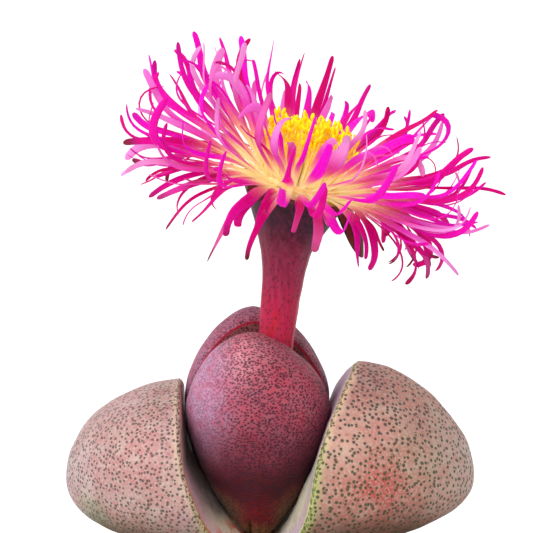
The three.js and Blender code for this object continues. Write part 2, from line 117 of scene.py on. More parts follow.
# A material in the making. Each method adds nodes and gives back the socket that carries the result.
class Skin(NodeMaker):
    def __init__(self, name):
        self.material = bpy.data.materials.new(name)
        self.material.use_nodes = True
        super().__init__(self.material.node_tree)
        self.shader = self.tree.nodes["Principled BSDF"]
        self.place = self.node("ShaderNodeTexCoord", output="Object")
        self.normal = self.node("ShaderNodeNewGeometry", output="Normal")
        self.axes = self.node("ShaderNodeSeparateXYZ", self.place, output=None)

    def mix(self, factor, first, second):
        first, second = (linear(shade) if isinstance(shade, tuple) else shade for shade in (first, second))
        return self.node("ShaderNodeMix", output=2, Factor=factor, A=first, B=second, data_type="RGBA")

    # Lays shades over a tint, each as strongly as the value before it says
    def over(self, tint, *layers):
        for amount, shade in layers:
            tint = self.mix(amount, tint, shade)
        return tint

    # 0 at low and 1 at high, smooth between them, with low above high where it falls
    def band(self, value, low, high):
        return self.node("ShaderNodeMapRange", Value=value, From_Min=low, From_Max=high,
                         interpolation_type="SMOOTHSTEP")

    def rescale(self, value, low, high, newLow, newHigh):
        return self.node("ShaderNodeMapRange", Value=value, From_Min=low, From_Max=high, To_Min=newLow,
                         To_Max=newHigh)

    def attribute(self, name):
        return self.node("ShaderNodeAttribute", output="Fac", attribute_name=name)

    def height(self):
        return self.maths("DIVIDE", self.axes["Z"], mm)

    # Noise whose lumps are about size across
    def grain(self, size, detail=2.0, roughness=0.5, stretch=(1, 1, 1), output="Fac"):
        spread = self.vectors("MULTIPLY", self.place, stretch)
        return self.node("ShaderNodeTexNoise", output=output, Vector=spread, Scale=1 / (size * mm),
                         Detail=detail, Roughness=roughness)

    # Lines that run along with a value, about spacing apart
    def lines(self, value, spacing):
        place = self.maths("DIVIDE", value, spacing)
        return self.node("ShaderNodeTexNoise", output="Fac", W=place, Detail=2.0, noise_dimensions="1D")

    # 1 at a point of the plant, falling to 0 at reach from it
    def near(self, centre, reach):
        away = self.vectors("DISTANCE", self.place, tuple(c * mm for c in centre), output="Value")
        return self.band(away, reach * mm, 0)

    # Round dots of an even size: each Voronoi point close to the surface is dropped onto it along the normal.
    def dots(self, spacing, size, stretch=(1, 1, 1), waver=0.0, spread=0.3, soft=0.3, uneven=1.0):
        place = self.place
        if waver:
            drift = self.vectors("SUBTRACT", self.grain(spacing * 2, detail=1.0, output="Color"), (0.5,) * 3)
            place = self.vectors("ADD", place, self.vectors("MULTIPLY", drift, (waver * mm,) * 3))
        cells = self.vectors("MULTIPLY", place, tuple(s / (spacing * mm) for s in stretch))
        found = self.node("ShaderNodeTexVoronoi", output=None, Vector=cells, Scale=1.0, Randomness=uneven)
        offset = self.vectors("SUBTRACT", cells, found["Position"])
        depth = self.vectors("DOT_PRODUCT", offset, self.normal, output="Value")
        whole = self.vectors("DOT_PRODUCT", offset, offset, output="Value")
        left = self.maths("SUBTRACT", whole, self.times(depth, depth))
        flat = self.maths("SQRT", self.maths("MAXIMUM", left, 0.0))
        pick = self.node("ShaderNodeSeparateColor", found["Color"], output="Red")
        middle = size / spacing / 2
        radius = self.rescale(pick, 0, 1, middle * (1 - spread), middle * (1 + spread))
        disc = self.band(flat, self.times(radius, 1 + soft), self.times(radius, 1 - soft))
        return self.times(disc, self.band(self.maths("ABSOLUTE", depth), 0.6, 0.5))

    def bump(self, height, depth, under=None):
        below = {"Normal": under} if under else {}
        return self.node("ShaderNodeBump", Height=height, Distance=depth * mm, **below)

    # Links each of the shader's sockets, or sets a number on it
    def finish(self, **looks):
        for name, value in looks.items():
            self.feed(self.shader.inputs[name.replace("_", " ")], value)
        return self.material


# A Geometry Nodes tree in the making, with named inputs for its sizes
class Growth(NodeMaker):
    def __init__(self, name):
        super().__init__(bpy.data.node_groups.new(name, "GeometryNodeTree"))
        for way in ("INPUT", "OUTPUT"):
            self.tree.interface.new_socket("Geometry", in_out=way, socket_type="NodeSocketGeometry")
        self.entry = self.tree.nodes.new("NodeGroupInput")
        self.exit = self.tree.nodes.new("NodeGroupOutput")
        self.identifiers = {}

    def input(self, name, kind="Float"):
        made = self.tree.interface.new_socket(name, in_out="INPUT", socket_type="NodeSocket" + kind)
        self.identifiers[name] = made.identifier
        return self.entry.outputs[name]

    def shape(self, kind, **named):
        return self.node("GeometryNode" + kind, **named)

    def attribute(self, name, kind="FLOAT"):
        return self.shape("InputNamedAttribute", Name=name, data_type=kind)

    def random(self, low, high, seed, kind="FLOAT"):
        output = {"FLOAT_VECTOR": 0, "FLOAT": 1, "INT": 2}[kind]
        return self.node("FunctionNodeRandomValue", output=output, Min=low, Max=high, Seed=seed,
                         data_type=kind)

    # Any turn round the upright axis, and up to tilt radians about the others
    def turns(self, tilt, seed):
        return self.random((-tilt, -tilt, -3.1), (tilt, tilt, 3.1), seed, "FLOAT_VECTOR")

    def isSet(self, name):
        return self.node("FunctionNodeCompare", A=self.attribute(name), B=0.5, operation="GREATER_THAN")

    def join(self, *parts):
        made = self.tree.nodes.new("GeometryNodeJoinGeometry")
        for part in parts:
            self.tree.links.new(part, made.inputs[0])
        return made.outputs[0]

    def paint(self, geometry, skin):
        real = self.shape("RealizeInstances", Geometry=geometry)
        return self.shape("SetMaterial", Geometry=real, Material=skin)

    def finish(self, geometry, skin=None):
        whole = self.shape("SetShadeSmooth", Geometry=geometry)
        if skin:
            whole = self.paint(whole, skin)
        self.tree.links.new(whole, self.exit.inputs[0])
        return self

    # Runs the tree on a carrier and gives it the plain mesh that comes out
    def grow(self, carrier, **sizes):
        modifier = carrier.modifiers.new("growth", "NODES")
        modifier.node_group = self.tree
        for name, value in sizes.items():
            modifier[self.identifiers[name.replace("_", " ")]] = value
        bpy.context.view_layer.update()
        depsgraph = bpy.context.evaluated_depsgraph_get()
        grown = carrier.evaluated_get(depsgraph)
        mesh = bpy.data.meshes.new_from_object(grown, preserve_all_data_layers=True, depsgraph=depsgraph)
        carrier.modifiers.remove(modifier)
        carrier.data = mesh


def newObject(name, data):
    made = bpy.data.objects.new(name, data)
    scene.collection.objects.link(made)
    return made


def newMesh(name, points, edges=(), faces=()):
    mesh = bpy.data.meshes.new(name)
    mesh.from_pydata((np.asarray(points, float) * mm).tolist(), edges, faces)
    return mesh


def setAttribute(mesh, name, values, kind="FLOAT"):
    layer = mesh.attributes.new(name, kind, "POINT")
    field = "vector" if kind == "FLOAT_VECTOR" else "value"
    layer.data.foreach_set(field, np.asarray(values, np.float32).ravel())


def meshPoints(mesh):
    points = np.empty(len(mesh.vertices) * 3)
    mesh.vertices.foreach_get("co", points)
    return points.reshape(-1, 3)


def faceOutwards(mesh):
    mesh.calc_loop_triangles()
    corners = np.empty(len(mesh.loop_triangles) * 3, np.int32)
    mesh.loop_triangles.foreach_get("vertices", corners)
    a, b, c = meshPoints(mesh)[corners.reshape(-1, 3)].transpose(1, 0, 2)
    if np.einsum("ij,ij->", a, np.cross(b, c)) < 0:  # the enclosed volume, times 6
        mesh.flip_normals()


# Joins points in the same place, so that a skin has no faces without area
def joinPoints(mesh):
    joined = bmesh.new()
    joined.from_mesh(mesh)
    bmesh.ops.remove_doubles(joined, verts=joined.verts, dist=0.003 * mm)
    joined.to_mesh(mesh)
    joined.free()


# Four-sided faces between rings of equal length, for as many steps from ring to ring as rows says
def ringFaces(rings, rows):
    count, sides = rings.shape[:2]
    ring, side = np.meshgrid(np.arange(rows), np.arange(sides), indexing="ij")
    after, beside = (ring + 1) % count, (side + 1) % sides
    corners = [(ring, side), (ring, beside), (after, beside), (after, side)]
    return np.stack([r * sides + s for r, s in corners], -1).reshape(-1, 4).tolist()


# A closed skin over rings, with a point in the middle of each end
def skinOver(name, rings, values=None):
    count, sides = rings.shape[:2]
    first, last, end = count * sides, count * sides + 1, (count - 1) * sides
    pairs = [(side, (side + 1) % sides) for side in range(sides)]
    fans = [[first, b, a] for a, b in pairs] + [[last, end + a, end + b] for a, b in pairs]
    points = np.concatenate([rings.reshape(-1, 3), [rings[0].mean(0)], [rings[-1].mean(0)]])
    mesh = newMesh(name, points, faces=ringFaces(rings, count - 1) + fans)
    for key, array in (values or {}).items():
        setAttribute(mesh, key, np.concatenate([array.ravel(), [array[0].mean()], [array[-1].mean()]]))
    mesh.shade_smooth()
    faceOutwards(mesh)
    return mesh


# Rings of points round an upright axis. Radius and level are columns with a row for each ring.
def turned(radius, level, sides):
    angle = np.arange(sides) / sides * turn
    return np.stack([radius * np.cos(angle), radius * np.sin(angle), level + 0 * angle], -1)


# Moves the points of a mesh along their normals. Lift gives the distance for the points and their noise.
def roughen(mesh, lump, lift, octaves=2):
    points = meshPoints(mesh) / mm
    normals = np.array([v.normal[:] for v in mesh.vertices])
    rough = np.array([noise.fractal(Vector(p / lump), 1.0, 2.0, octaves) for p in points])
    points += normals * lift(points, rough)[:, None]
    mesh.vertices.foreach_set("co", (points * mm).ravel())
    mesh.update()


# A path through corners, each rounded by an arc that starts reach before it
def roundedPath(corners, reach, steps):
    corners = np.array(corners, float)
    path = [corners[0]]
    for before, corner, after in zip(corners, corners[1:], corners[2:]):
        into, out = corner - before, after - corner
        cut = min(reach, np.linalg.norm(into) * 0.45, np.linalg.norm(out) * 0.45)
        start, end = corner - unit(into) * cut, corner + unit(out) * cut
        for share in np.linspace(0, 1, steps):
            path.append((1 - share) ** 2 * start + 2 * share * (1 - share) * corner + share**2 * end)
    path.append(corners[-1])
    return np.array(path)


def finishMesh(name, mesh, skin, slot, *nodes):
    mesh.materials.append(skin)
    finishPiece(newObject(name, mesh), slot, *nodes)


def finishPiece(piece, slot, *nodes):
    faceOutwards(piece.data)
    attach(piece, "root")
    if nodes:
        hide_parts(*nodes)
    print("made", piece.name, len(piece.data.polygons), "faces")


print("camera and light")
view = {"target": (-0.63, 0, 132.97), "elevation": 8, "distance": 400, "width": 95.94, "sensor": 36}
sun = {"strength": 2.9, "softness": 42, "from": (-0.55, -0.7, 0.8)}
# The sky is a white wall behind the plant that gets dimmer towards the front
sky = {"tint": (1.0, 1.0, 1.0, 1.0), "middle": 0.74, "swing": 0.3}


def addCamera():
    data = bpy.data.cameras.new("camera")
    data.sensor_width = view["sensor"]
    data.lens = view["sensor"] * view["distance"] / view["width"]
    data.clip_start = 0.01
    camera = newObject("camera", data)
    elevation = view["elevation"] * degree
    back = Vector((0, -math.cos(elevation), math.sin(elevation)))
    camera.location = (Vector(view["target"]) + back * view["distance"]) * mm
    camera.rotation_euler = back.to_track_quat("Z", "Y").to_euler()
    scene.camera = camera


def addLight():
    world = bpy.data.worlds.new("sky")
    world.use_nodes = True
    background = world.node_tree.nodes["Background"].inputs
    background["Color"].default_value = sky["tint"]
    nodes = NodeMaker(world.node_tree)
    direction = nodes.node("ShaderNodeTexCoord", output="Generated")
    behind = nodes.node("ShaderNodeSeparateXYZ", direction, output="Y")
    nodes.feed(background["Strength"], nodes.maths("MULTIPLY_ADD", behind, sky["swing"], sky["middle"]))
    scene.world = world
    data = bpy.data.lights.new("sun", "SUN")
    data.energy = sun["strength"]
    data.angle = sun["softness"] * degree
    newObject("sun", data).rotation_euler = Vector(sun["from"]).to_track_quat("Z", "Y").to_euler()
    scene.view_settings.view_transform = "Standard"


addCamera()
addLight()

print("leaves")
# The leaves have the shapes and places that the frame's leaves have. Each is a dome on a flat face.
leafDetail = {"sides": 168, "domeRings": 64, "edgeRings": 10, "faceRings": 18, "faceEdge": 0.03,
              "lump": 7, "unevenness": 0.22, "clearance": 0.3}
leafShapes = {
    "outer_leaf_left": {
        "centre": (-14.3, 0.5, 94.2), "facing": 180, "lean": 9.2, "halfWidth": 19, "top": 17.9,
        "bottom": 12.7, "footReach": 7.2, "footCorners": 0.47, "topSpread": -1.2, "back": (-22.2, 1, -1.6),
        "topRoundness": 2.25, "bottomRoundness": 2.6, "domeRoundness": 1.89, "peakShift": 0, "belly": 0.7,
        "rimInset": 0.015, "farReach": 2.2,
    },
    "outer_leaf_right": {
        "centre": (7.9, 0.5, 94.4), "facing": -2.5, "lean": 7.7, "halfWidth": 19.9, "top": 21.4,
        "bottom": 12.9, "footReach": 7, "footCorners": 0, "topSpread": 4.8, "back": (28.9, 1, -1.5),
        "topRoundness": 1.66, "bottomRoundness": 2.27, "domeRoundness": 1.83, "peakShift": 0, "belly": 0.6,
        "rimInset": 0.015,
    },
    "inner_leaf_front": {
        "centre": (-2.1, -3.8, 107.8), "facing": 270, "lean": 3, "halfWidth": 13, "top": 14,
        "bottom": 24.2, "footReach": 0, "footCorners": 0, "topSpread": 0, "back": (0, -11.4, -1),
        "topRoundness": 1.71, "bottomRoundness": 1.46, "domeRoundness": 1.9, "peakShift": -1.4, "belly": 0.7,
        "rimInset": 0.05,
    },
    "inner_leaf_back": {
        "centre": (-2.2, 3.6, 108.3), "facing": 95, "lean": 0.5, "halfWidth": 13.4, "top": 15.1,
        "bottom": 24.6, "footReach": 0, "footCorners": 0, "topSpread": 0, "back": (0.3, 11.6, 4.9),
        "topRoundness": 1.62, "bottomRoundness": 1.9, "domeRoundness": 2.02, "peakShift": 0.8, "belly": 2.4,
        "rimInset": 0.05,
    },
}


def leafOutline(leaf, angle):
    across, along = np.cos(angle), np.sin(angle)
    upper = along > 0
    power = 2 / np.where(upper, leaf["topRoundness"], leaf["bottomRoundness"])
    rise = np.abs(along) ** power * np.where(upper, leaf["top"], -leaf["bottom"])
    shift = np.where(upper, leaf["peakShift"] * (rise / leaf["top"]) ** 2, 0)
    return np.sign(across) * np.abs(across) ** power * leaf["halfWidth"] + shift, rise


# How far the flat face stands out from its plane: the foot reaches in under the plant, the top spreads
def faceShift(leaf, across, rise):
    curved = (leaf["top"] * 0.3 - rise) / (leaf["top"] * 0.3 + leaf["bottom"])
    towardsMiddle = 1 - (across / leaf["halfWidth"]) ** 2
    inwards = leaf["footReach"] * np.maximum(0, curved) ** 1.2 * (leaf["footCorners"] + towardsMiddle)
    farSide = leaf.get("farReach", 0) * smoothStep(0.1, 0.8, -across / leaf["halfWidth"])
    farSide = farSide * smoothStep(0.75, 0.3, rise / leaf["top"])
    return leaf["topSpread"] * (np.maximum(0, rise) / leaf["top"]) ** 2.4 - inwards - farSide


# Rings from the back of the dome, round the edge and in over the face, with values for the skin
def leafRings(leaf, margin=0.0):
    facing, lean = leaf["facing"] * degree, leaf["lean"] * degree
    outward = np.array([math.cos(facing), math.sin(facing), 0])
    sideways = np.array([-math.sin(facing), math.cos(facing), 0])
    upward = np.array([0, 0, math.cos(lean)]) + outward * math.sin(lean)
    back = np.array(leaf["back"], float)
    faceFrom = 1 - leafDetail["faceEdge"] - leaf["rimInset"]
    dome = np.linspace(0, turn / 4, leafDetail["domeRings"] + 1)[1:]
    edge = np.linspace(0, turn / 4, leafDetail["edgeRings"] + 1)[1:]
    share = np.concatenate([
        np.sin(dome) ** (2 / leaf["domeRoundness"]),
        faceFrom + (1 - faceFrom) * np.cos(edge) ** 1.5,
        np.linspace(faceFrom, 0.02, leafDetail["faceRings"] + 1)[1:],
    ])
    level = share * 0
    level[:len(dome)] = np.clip(np.cos(dome), 0, 1) ** (2 / leaf["domeRoundness"])
    sink = np.zeros(len(share))
    sink[:len(dome)] = leaf["belly"]
    sink[len(dome):len(dome) + len(edge)] = leaf["belly"] * (1 - np.sin(edge) ** 1.5)
    sink -= margin * (level == 0)
    across, rise = leafOutline(leaf, np.arange(leafDetail["sides"]) / leafDetail["sides"] * turn)
    grown = (share * (1 + margin / leaf["halfWidth"]))[:, None]
    shift = faceShift(leaf, across * share[:, None], rise * share[:, None]) * (1 - level[:, None])
    rings = (
        np.array(leaf["centre"], float)
        + (across * grown)[..., None] * sideways
        + (rise * grown)[..., None] * upward
        + (level * (1 + margin / np.linalg.norm(back)))[:, None, None] * back
        + (sink[:, None] + shift)[..., None] * outward
    )
    steps = np.linalg.norm(np.diff(rings, axis=0), axis=2)
    gone = np.concatenate([np.zeros((1, rings.shape[1])), np.cumsum(steps, 0)])
    corner = gone[len(dome) + len(edge) - 1]
    values = {
        "fromEdge": corner - gone,  # distance from the face's edge, below 0 on the face
        "across": across * share[:, None] / leaf["halfWidth"],
    }
    return rings, values, outward


# Moves the points that lie inside a neighbour straight outwards until they are clear of it
def pressClear(rings, blockers, outward):
    direction = Vector(outward)
    flat = rings.reshape(-1, 3)
    for blocker in blockers:
        for index, point in enumerate(flat):
            hit, normal, _, _ = blocker.ray_cast(Vector(point) * mm, direction)
            if hit and normal.dot(direction) > 0:
                flat[index] = np.array(hit) / mm
    return flat.reshape(rings.shape)


def searchTree(rings):
    mesh = skinOver("space", rings)
    return BVHTree.FromPolygons([v.co for v in mesh.vertices], [p.vertices for p in mesh.polygons])


crown = {"rimHeight": 84, "rimRadius": 9.6, "neckHeight": 78, "neckRadius": 8.2, "rootTop": 68,
         "rootRadius": 4, "rootMiddle": 50, "tipHeight": 30, "tipRadius": 0.9, "rounding": 1.6, "sides": 96,
         "lump": 2.5, "unevenness": 0.25}


def crownRings(margin=0.0):
    height = crown["rimHeight"]
    profile = roundedPath([
        (0.2, crown["tipHeight"]), (crown["tipRadius"], crown["tipHeight"] + 0.4),
        (lerp(crown["tipRadius"], crown["rootRadius"], 0.45), crown["rootMiddle"]),
        (crown["rootRadius"], crown["rootTop"] - 1),
        (crown["neckRadius"] - 1.4, crown["rootTop"] + 3.5), (crown["neckRadius"], crown["neckHeight"] - 1),
        (crown["rimRadius"], height - 3.4), (crown["rimRadius"] - 0.3, height - 0.8),
        (crown["rimRadius"] - 1.4, height), (crown["rimRadius"] - 2.4, height + 0.05), (0.2, height + 0.05),
    ], crown["rounding"], 5)
    return turned(profile[:, :1] + margin, profile[:, 1:], crown["sides"])


# What each leaf looks like, with the places of its patches as points of the plant
leafLooks = {
    "outer_leaf_left": {
        "gloss": 0.25,
        "skin": ((162, 129, 124), (168, 133, 135)), "mottle": ((174, 100, 100), (189, 176, 166)),
        "patches": [
            ((-22, -17, 103), 12, (178, 124, 122), 0.7), ((-14.5, -17, 97), 7, (189, 160, 145), 0.7),
            ((-18, -8, 112), 9, (137, 96, 89), 0.85), ((-37, -2, 96), 12, (154, 143, 145), 0.8),
            ((-34, -10, 86), 10, (100, 124, 75), 1.2), ((-24, -16, 88), 9, (145, 114, 104), 0.6),
        ],
        "low": [(93, 83, (94, 83, 70))],
        "band": (2.4, (199, 174, 151), (189, 179, 129), 98, 87),
        "line": (0.34, (204, 104, 40), 0.9),
        "face": ((148, 116, 120), (232, 218, 186), 95, 86),
        "faceEdge": (206, 158, 172), "facePaintedShade": (70, 52, 54), "facePaintedSheenLines": (236, 220, 214),
        "streaks": ((226, 78, 30), 0.9),
        "dots": {"spacing": 0.92, "size": 0.46, "waver": 0.22, "uneven": 0.8, "spread": 0.22},
        "edgeDots": {"spacing": 0.55, "size": 0.34, "waver": 0.2}, "edgeTint": (68, 60, 50),
        "dotTint": (66, 62, 58), "dotLow": (62, 70, 50), "dotAmount": 0.85, "faceDots": 0.06,
    },
    "outer_leaf_right": {
        "gloss": 0.25,
        "skin": ((164, 124, 108), (174, 133, 120)), "mottle": ((170, 95, 87), (185, 170, 152)),
        "patches": [
            ((27, -15, 99), 9, (147, 124, 102), 0.9), ((13, -16, 104), 8, (197, 154, 137), 0.8),
            ((36, -3, 99), 13, (178, 162, 154), 0.9), ((17, -7, 117), 11, (133, 89, 93), 0.95),
            ((29, -9, 110), 9, (145, 112, 104), 0.7), ((20, -15, 107), 6, (183, 100, 95), 0.8),
            ((19.5, -17, 94.9), 12, (170, 71, 66), 1.0), ((24, -16, 86), 9, (116, 71, 60), 0.9),
        ],
        "low": [(95, 84, (80, 58, 46))],
        "band": (2.8, (205, 181, 149), (166, 172, 108), 108, 98),
        "line": (0.22, (216, 203, 183), 0.75),
        "face": ((140, 110, 136), (186, 186, 166), 106, 94),
        "faceEdge": (178, 146, 174), "facePaintedShade": (96, 78, 88), "facePaintedSheenLines": (220, 210, 214),
        "streaks": ((189, 145, 87), 0.25),
        "dots": {"spacing": 1.08, "size": 0.56, "waver": 0.2, "uneven": 0.8, "spread": 0.22},
        "edgeDots": {"spacing": 0.62, "size": 0.52, "waver": 0.15, "uneven": 0.7}, "edgeTint": (84, 106, 36),
        "dotTint": (62, 60, 54), "dotLow": (60, 68, 44), "dotAmount": 0.9, "faceDots": 0.06,
    },
    "inner_leaf_front": {
        "gloss": 0.12,
        "skin": ((154, 70, 86), (164, 80, 91)), "mottle": ((179, 39, 68), (145, 95, 108)),
        "patches": [
            # On this leaf the light patch at the top is a painted highlight, and the two dark patches on the
            # right are painted shade where the right leaf shades it.
            ((-5, -11, 119.5), 9, (204, 132, 142), 1.0), ((5, -11, 113), 8, (164, 78, 94), 0.6),
            ((9, -9, 104), 8, (89, 42, 62), 0.9), ((9, -8, 96), 8, (56, 29, 33), 0.8),
        ],
        "low": [(112, 98, (92, 26, 38)), (101, 95, (64, 14, 16)), (95.5, 90.5, (128, 28, 34)),
                (88.5, 85.5, (132, 96, 58))],
        "band": (0.8, (183, 64, 81), (116, 42, 48), 92, 86),
        "line": (0.30, (164, 29, 54), 0.7),
        "face": ((93, 58, 52), (87, 68, 48), 110, 92),
        "faceEdge": (110, 56, 60), "facePaintedShade": (70, 40, 40), "facePaintedSheenLines": (120, 70, 70),
        "footSides": (112, 84, 58),
        "streaks": ((116, 58, 48), 0.2),
        "dots": {"spacing": 0.45, "size": 0.3, "waver": 0.4, "stretch": (0.75, 0.9, 1.05), "soft": 0.5},
        "edgeDots": {"spacing": 0.5, "size": 0.26}, "edgeTint": (68, 29, 39),
        "dotTint": (50, 26, 42), "dotLow": (34, 12, 16), "dotAmount": 0.88, "faceDots": 0.6,
        "bloom": ((-0.15, -0.75), (180, 142, 174), 0.9),
    },
    "inner_leaf_back": {
        "gloss": 0.12,
        "skin": ((140, 78, 102), (148, 76, 94)), "mottle": ((158, 40, 70), (160, 120, 140)),
        "patches": [((-8, 14, 117), 9, (141, 89, 120), 0.6), ((6, 12, 116), 8, (145, 100, 127), 0.6)],
        "low": [(93, 87, (106, 81, 50))],
        "band": (0.5, (106, 35, 48), (96, 39, 42), 92, 86),
        "line": (0.34, (156, 12, 42), 0.9),
        "face": ((118, 66, 66), (77, 58, 42), 110, 92),
        "faceEdge": (132, 74, 76), "facePaintedShade": (80, 42, 46), "facePaintedSheenLines": (140, 86, 88),
        "streaks": ((116, 58, 48), 0.2),
        "dots": {"spacing": 0.58, "size": 0.34, "waver": 0.5},
        "edgeDots": {"spacing": 0.5, "size": 0.26}, "edgeTint": (68, 29, 39),
        "dotTint": (50, 28, 42), "dotLow": (46, 21, 25), "dotAmount": 0.9, "faceDots": 0.8,
        "bloom": ((0.3, 0.9), (160, 120, 149), 0.5),
    },
}


# The short upright crease at the foot of the front leaf, with painted shade along it
crease = {"across": -3.6, "top": 89.2, "halfWidth": 0.45, "depth": 0.7, "shade": (40, 20, 16)}


def creaseLift(points, rough):
    beside = np.exp(-(((points[:, 0] - crease["across"]) / crease["halfWidth"]) ** 2))
    lower = smoothStep(crease["top"], crease["top"] - 2, points[:, 2])
    return -crease["depth"] * beside * lower * (points[:, 1] < -4)


# The domed back: large patches, blotches and specks, then the darker shades low down, partly the leaf's own
# colour and partly painted shade, and the band along the edge
def domeTint(skin, look, height, uneven, wavy, cloud, fine, bloom):
    tint = skin.mix(skin.band(cloud, 0.35, 0.65), *look["skin"])
    for centre, reach, shade, amount in look["patches"]:
        amount = skin.rescale(cloud, 0.3, 0.7, amount * 1.3, amount * 0.6)
        tint = skin.mix(skin.times(skin.near(centre, reach), amount), tint, shade)
    # a lilac painted sheen over one flank of the leaf
    if bloom:
        tint = skin.mix(skin.times(bloom, look["bloom"][2]), tint, look["bloom"][1])
    redder, greyer = look["mottle"]
    speck = skin.grain(0.45, detail=3.0, roughness=0.65)
    blotch = skin.grain(4, detail=3.0, roughness=0.6)
    tint = skin.over(tint, (skin.rescale(blotch, 0.5, 0.66, 0, 0.3), redder),
                     (skin.rescale(blotch, 0.48, 0.34, 0, 0.34), greyer),
                     (skin.rescale(fine, 0.45, 0.65, 0, 0.34), redder),
                     (skin.rescale(speck, 0.46, 0.66, 0, 0.55), greyer))
    # darker towards the foot: partly the leaf's own colour, partly painted shade where less light reaches the
    # lower parts
    for start, end, shade in look["low"]:
        tint = skin.mix(skin.times(skin.band(uneven, start, end), 0.85), tint, shade)
    if "footSides" in look:
        aside = skin.band(skin.maths("ABSOLUTE", skin.attribute("across")), 0.12, 0.4)
        tint = skin.mix(skin.times(aside, skin.band(uneven, 95, 90)), tint, look["footSides"])
    width, upper, lower, fadeFrom, fadeTo = look["band"]
    within = skin.times(skin.band(wavy, width, width * 0.3), 0.85)
    return skin.mix(within, tint, skin.mix(skin.band(height, fadeFrom, fadeTo), upper, lower))


# The flat face: dim inside with painted shade, paler at its edge, with fine light lines of painted sheen
# along the edge and streaks at the foot
def faceTint(skin, look, height, uneven, fromEdge, wavy, fine):
    upper, lower, fadeFrom, fadeTo = look["face"]
    face = skin.mix(skin.band(uneven, fadeFrom, fadeTo), upper, lower)
    # inside: painted shade deep on the face, next to the neighbouring leaf
    inside = skin.times(skin.band(fromEdge, -4, -8), skin.band(height, fadeTo + 1, fadeTo + 4))
    # light lines along the edge: a painted sheen
    lines = skin.times(skin.band(skin.lines(wavy, 0.5), 0.45, 0.65), skin.rescale(fine, 0.35, 0.6, 0.1, 0.5))
    streakShade, streakAmount = look["streaks"]
    streak = skin.band(skin.grain(1.8, detail=3.0, stretch=(1, 1, 0.3)), 0.42, 0.54)
    streak = skin.times(streak, skin.band(height, fadeTo + 3, fadeTo))
    return skin.over(face, (skin.times(inside, 0.85), look["facePaintedShade"]),
                     (skin.times(skin.band(fromEdge, -4.5, -1), 0.75), look["faceEdge"]),
                     (lines, look["facePaintedSheenLines"]), (skin.times(streak, streakAmount), streakShade))


def leafSkin(name, look):
    skin = Skin(name + "_skin")
    height, fromEdge, bloom = skin.height(), skin.attribute("fromEdge"), None
    cloud, fine = skin.grain(9, detail=3.0), skin.grain(1.6, detail=3.0, roughness=0.6)
    uneven = skin.plus(height, skin.rescale(cloud, 0, 1, -4, 4))
    wavy = skin.plus(fromEdge, skin.rescale(cloud, 0, 1, -1, 1))
    # the painted sheen: a lilac colour across one flank, fading low down, with fewer dots under it
    if "bloom" in look:
        bloom = skin.times(skin.band(skin.attribute("across"), *look["bloom"][0]), skin.band(height, 93, 101))
    dome = domeTint(skin, look, height, uneven, wavy, cloud, fine, bloom)
    onFace = skin.band(fromEdge, -0.05, -0.5)
    tint = skin.mix(onFace, dome, faceTint(skin, look, height, uneven, fromEdge, wavy, fine))
    dots = skin.dots(**look["dots"])
    dotShade = skin.mix(skin.band(height, *look["band"][3:]), look["dotTint"], look["dotLow"])
    amount = skin.times(dots, skin.rescale(onFace, 0, 1, look["dotAmount"], look["faceDots"]))
    if bloom:
        amount = skin.times(amount, skin.rescale(bloom, 0, 1, 1, 0.45))
    tint = skin.mix(amount, tint, dotShade)
    crowd = skin.times(skin.dots(**look["edgeDots"]), skin.band(fromEdge, 1.5, 0.9))
    crowd = skin.times(crowd, skin.band(fromEdge, 0.0, 0.3))
    tint = skin.mix(skin.times(crowd, 0.8), tint, look["edgeTint"])
    lineWidth, lineShade, lineAmount = look["line"]
    line = skin.band(skin.maths("ABSOLUTE", fromEdge), lineWidth, lineWidth * 0.4)
    line = skin.times(line, skin.rescale(fine, 0.3, 0.6, lineAmount * 0.6, lineAmount))
    tint = skin.mix(line, tint, lineShade)
    # painted shade along the crease
    if name == "inner_leaf_front":
        beside = skin.maths("SUBTRACT", skin.maths("DIVIDE", skin.axes["X"], mm), crease["across"])
        cut = skin.band(skin.maths("ABSOLUTE", beside), 0.2, 0.05)
        cut = skin.times(cut, skin.band(height, crease["top"], crease["top"] - 1))
        tint = skin.mix(cut, tint, crease["shade"])
    relief = skin.bump(skin.times(dots, -1.0), 0.05, under=skin.bump(fine, 0.12))
    return skin.finish(Base_Color=tint, Roughness=skin.rescale(fine, 0.3, 0.7, 0.46, 0.6), Normal=relief,
                       Sheen_Weight=0.05, Sheen_Roughness=0.4, Specular_IOR_Level=look["gloss"])


def makeLeaves():
    clearance = leafDetail["clearance"]
    blockers = [leafRings(leaf, clearance)[0] for name, leaf in leafShapes.items() if "inner" in name]
    blockers = [searchTree(rings) for rings in (*blockers, crownRings(clearance))]
    for name, leaf in leafShapes.items():
        rings, values, outward = leafRings(leaf)
        if "outer" in name:
            rings = pressClear(rings, blockers, outward)
        mesh = skinOver(name, rings, values)
        roughen(mesh, leafDetail["lump"], lambda points, rough: rough * leafDetail["unevenness"])
        if name == "inner_leaf_front":
            roughen(mesh, leafDetail["lump"], creaseLift)
        finishMesh(name + "_skin", mesh, leafSkin(name, leafLooks[name]), name.rsplit("_", 1)[0], name)


makeLeaves()

print("flower stalk")
flower = {"centre": (4.3, -1.2, 147), "tipRight": 16, "tipForward": 8}
stalk = {
    "path": [(0.4, 0.2, 89.5), (1.0, 0, 118), (2.6, -0.4, 133.4), (3.35, -0.8, 140.8)], "tilted": (14, 3),
    "widths": [(0, 9.7), (1.2, 9.1), (2.6, 8.4), (4.8, 7.35), (7.2, 6.2), (9.4, 5.2), (11.6, 4.45), (14, 4),
               (17, 3.7), (20.5, 3.5), (28, 3.15), (32, 3), (44, 2.5), (57, 1.8)],
    "sides": 240, "rings": 130, "lip": 0.5, "recess": 1.0, "ribs": 11, "ribDepth": 0.012, "smoothing": 24,
    "lump": 3.5, "unevenness": 0.09,
}


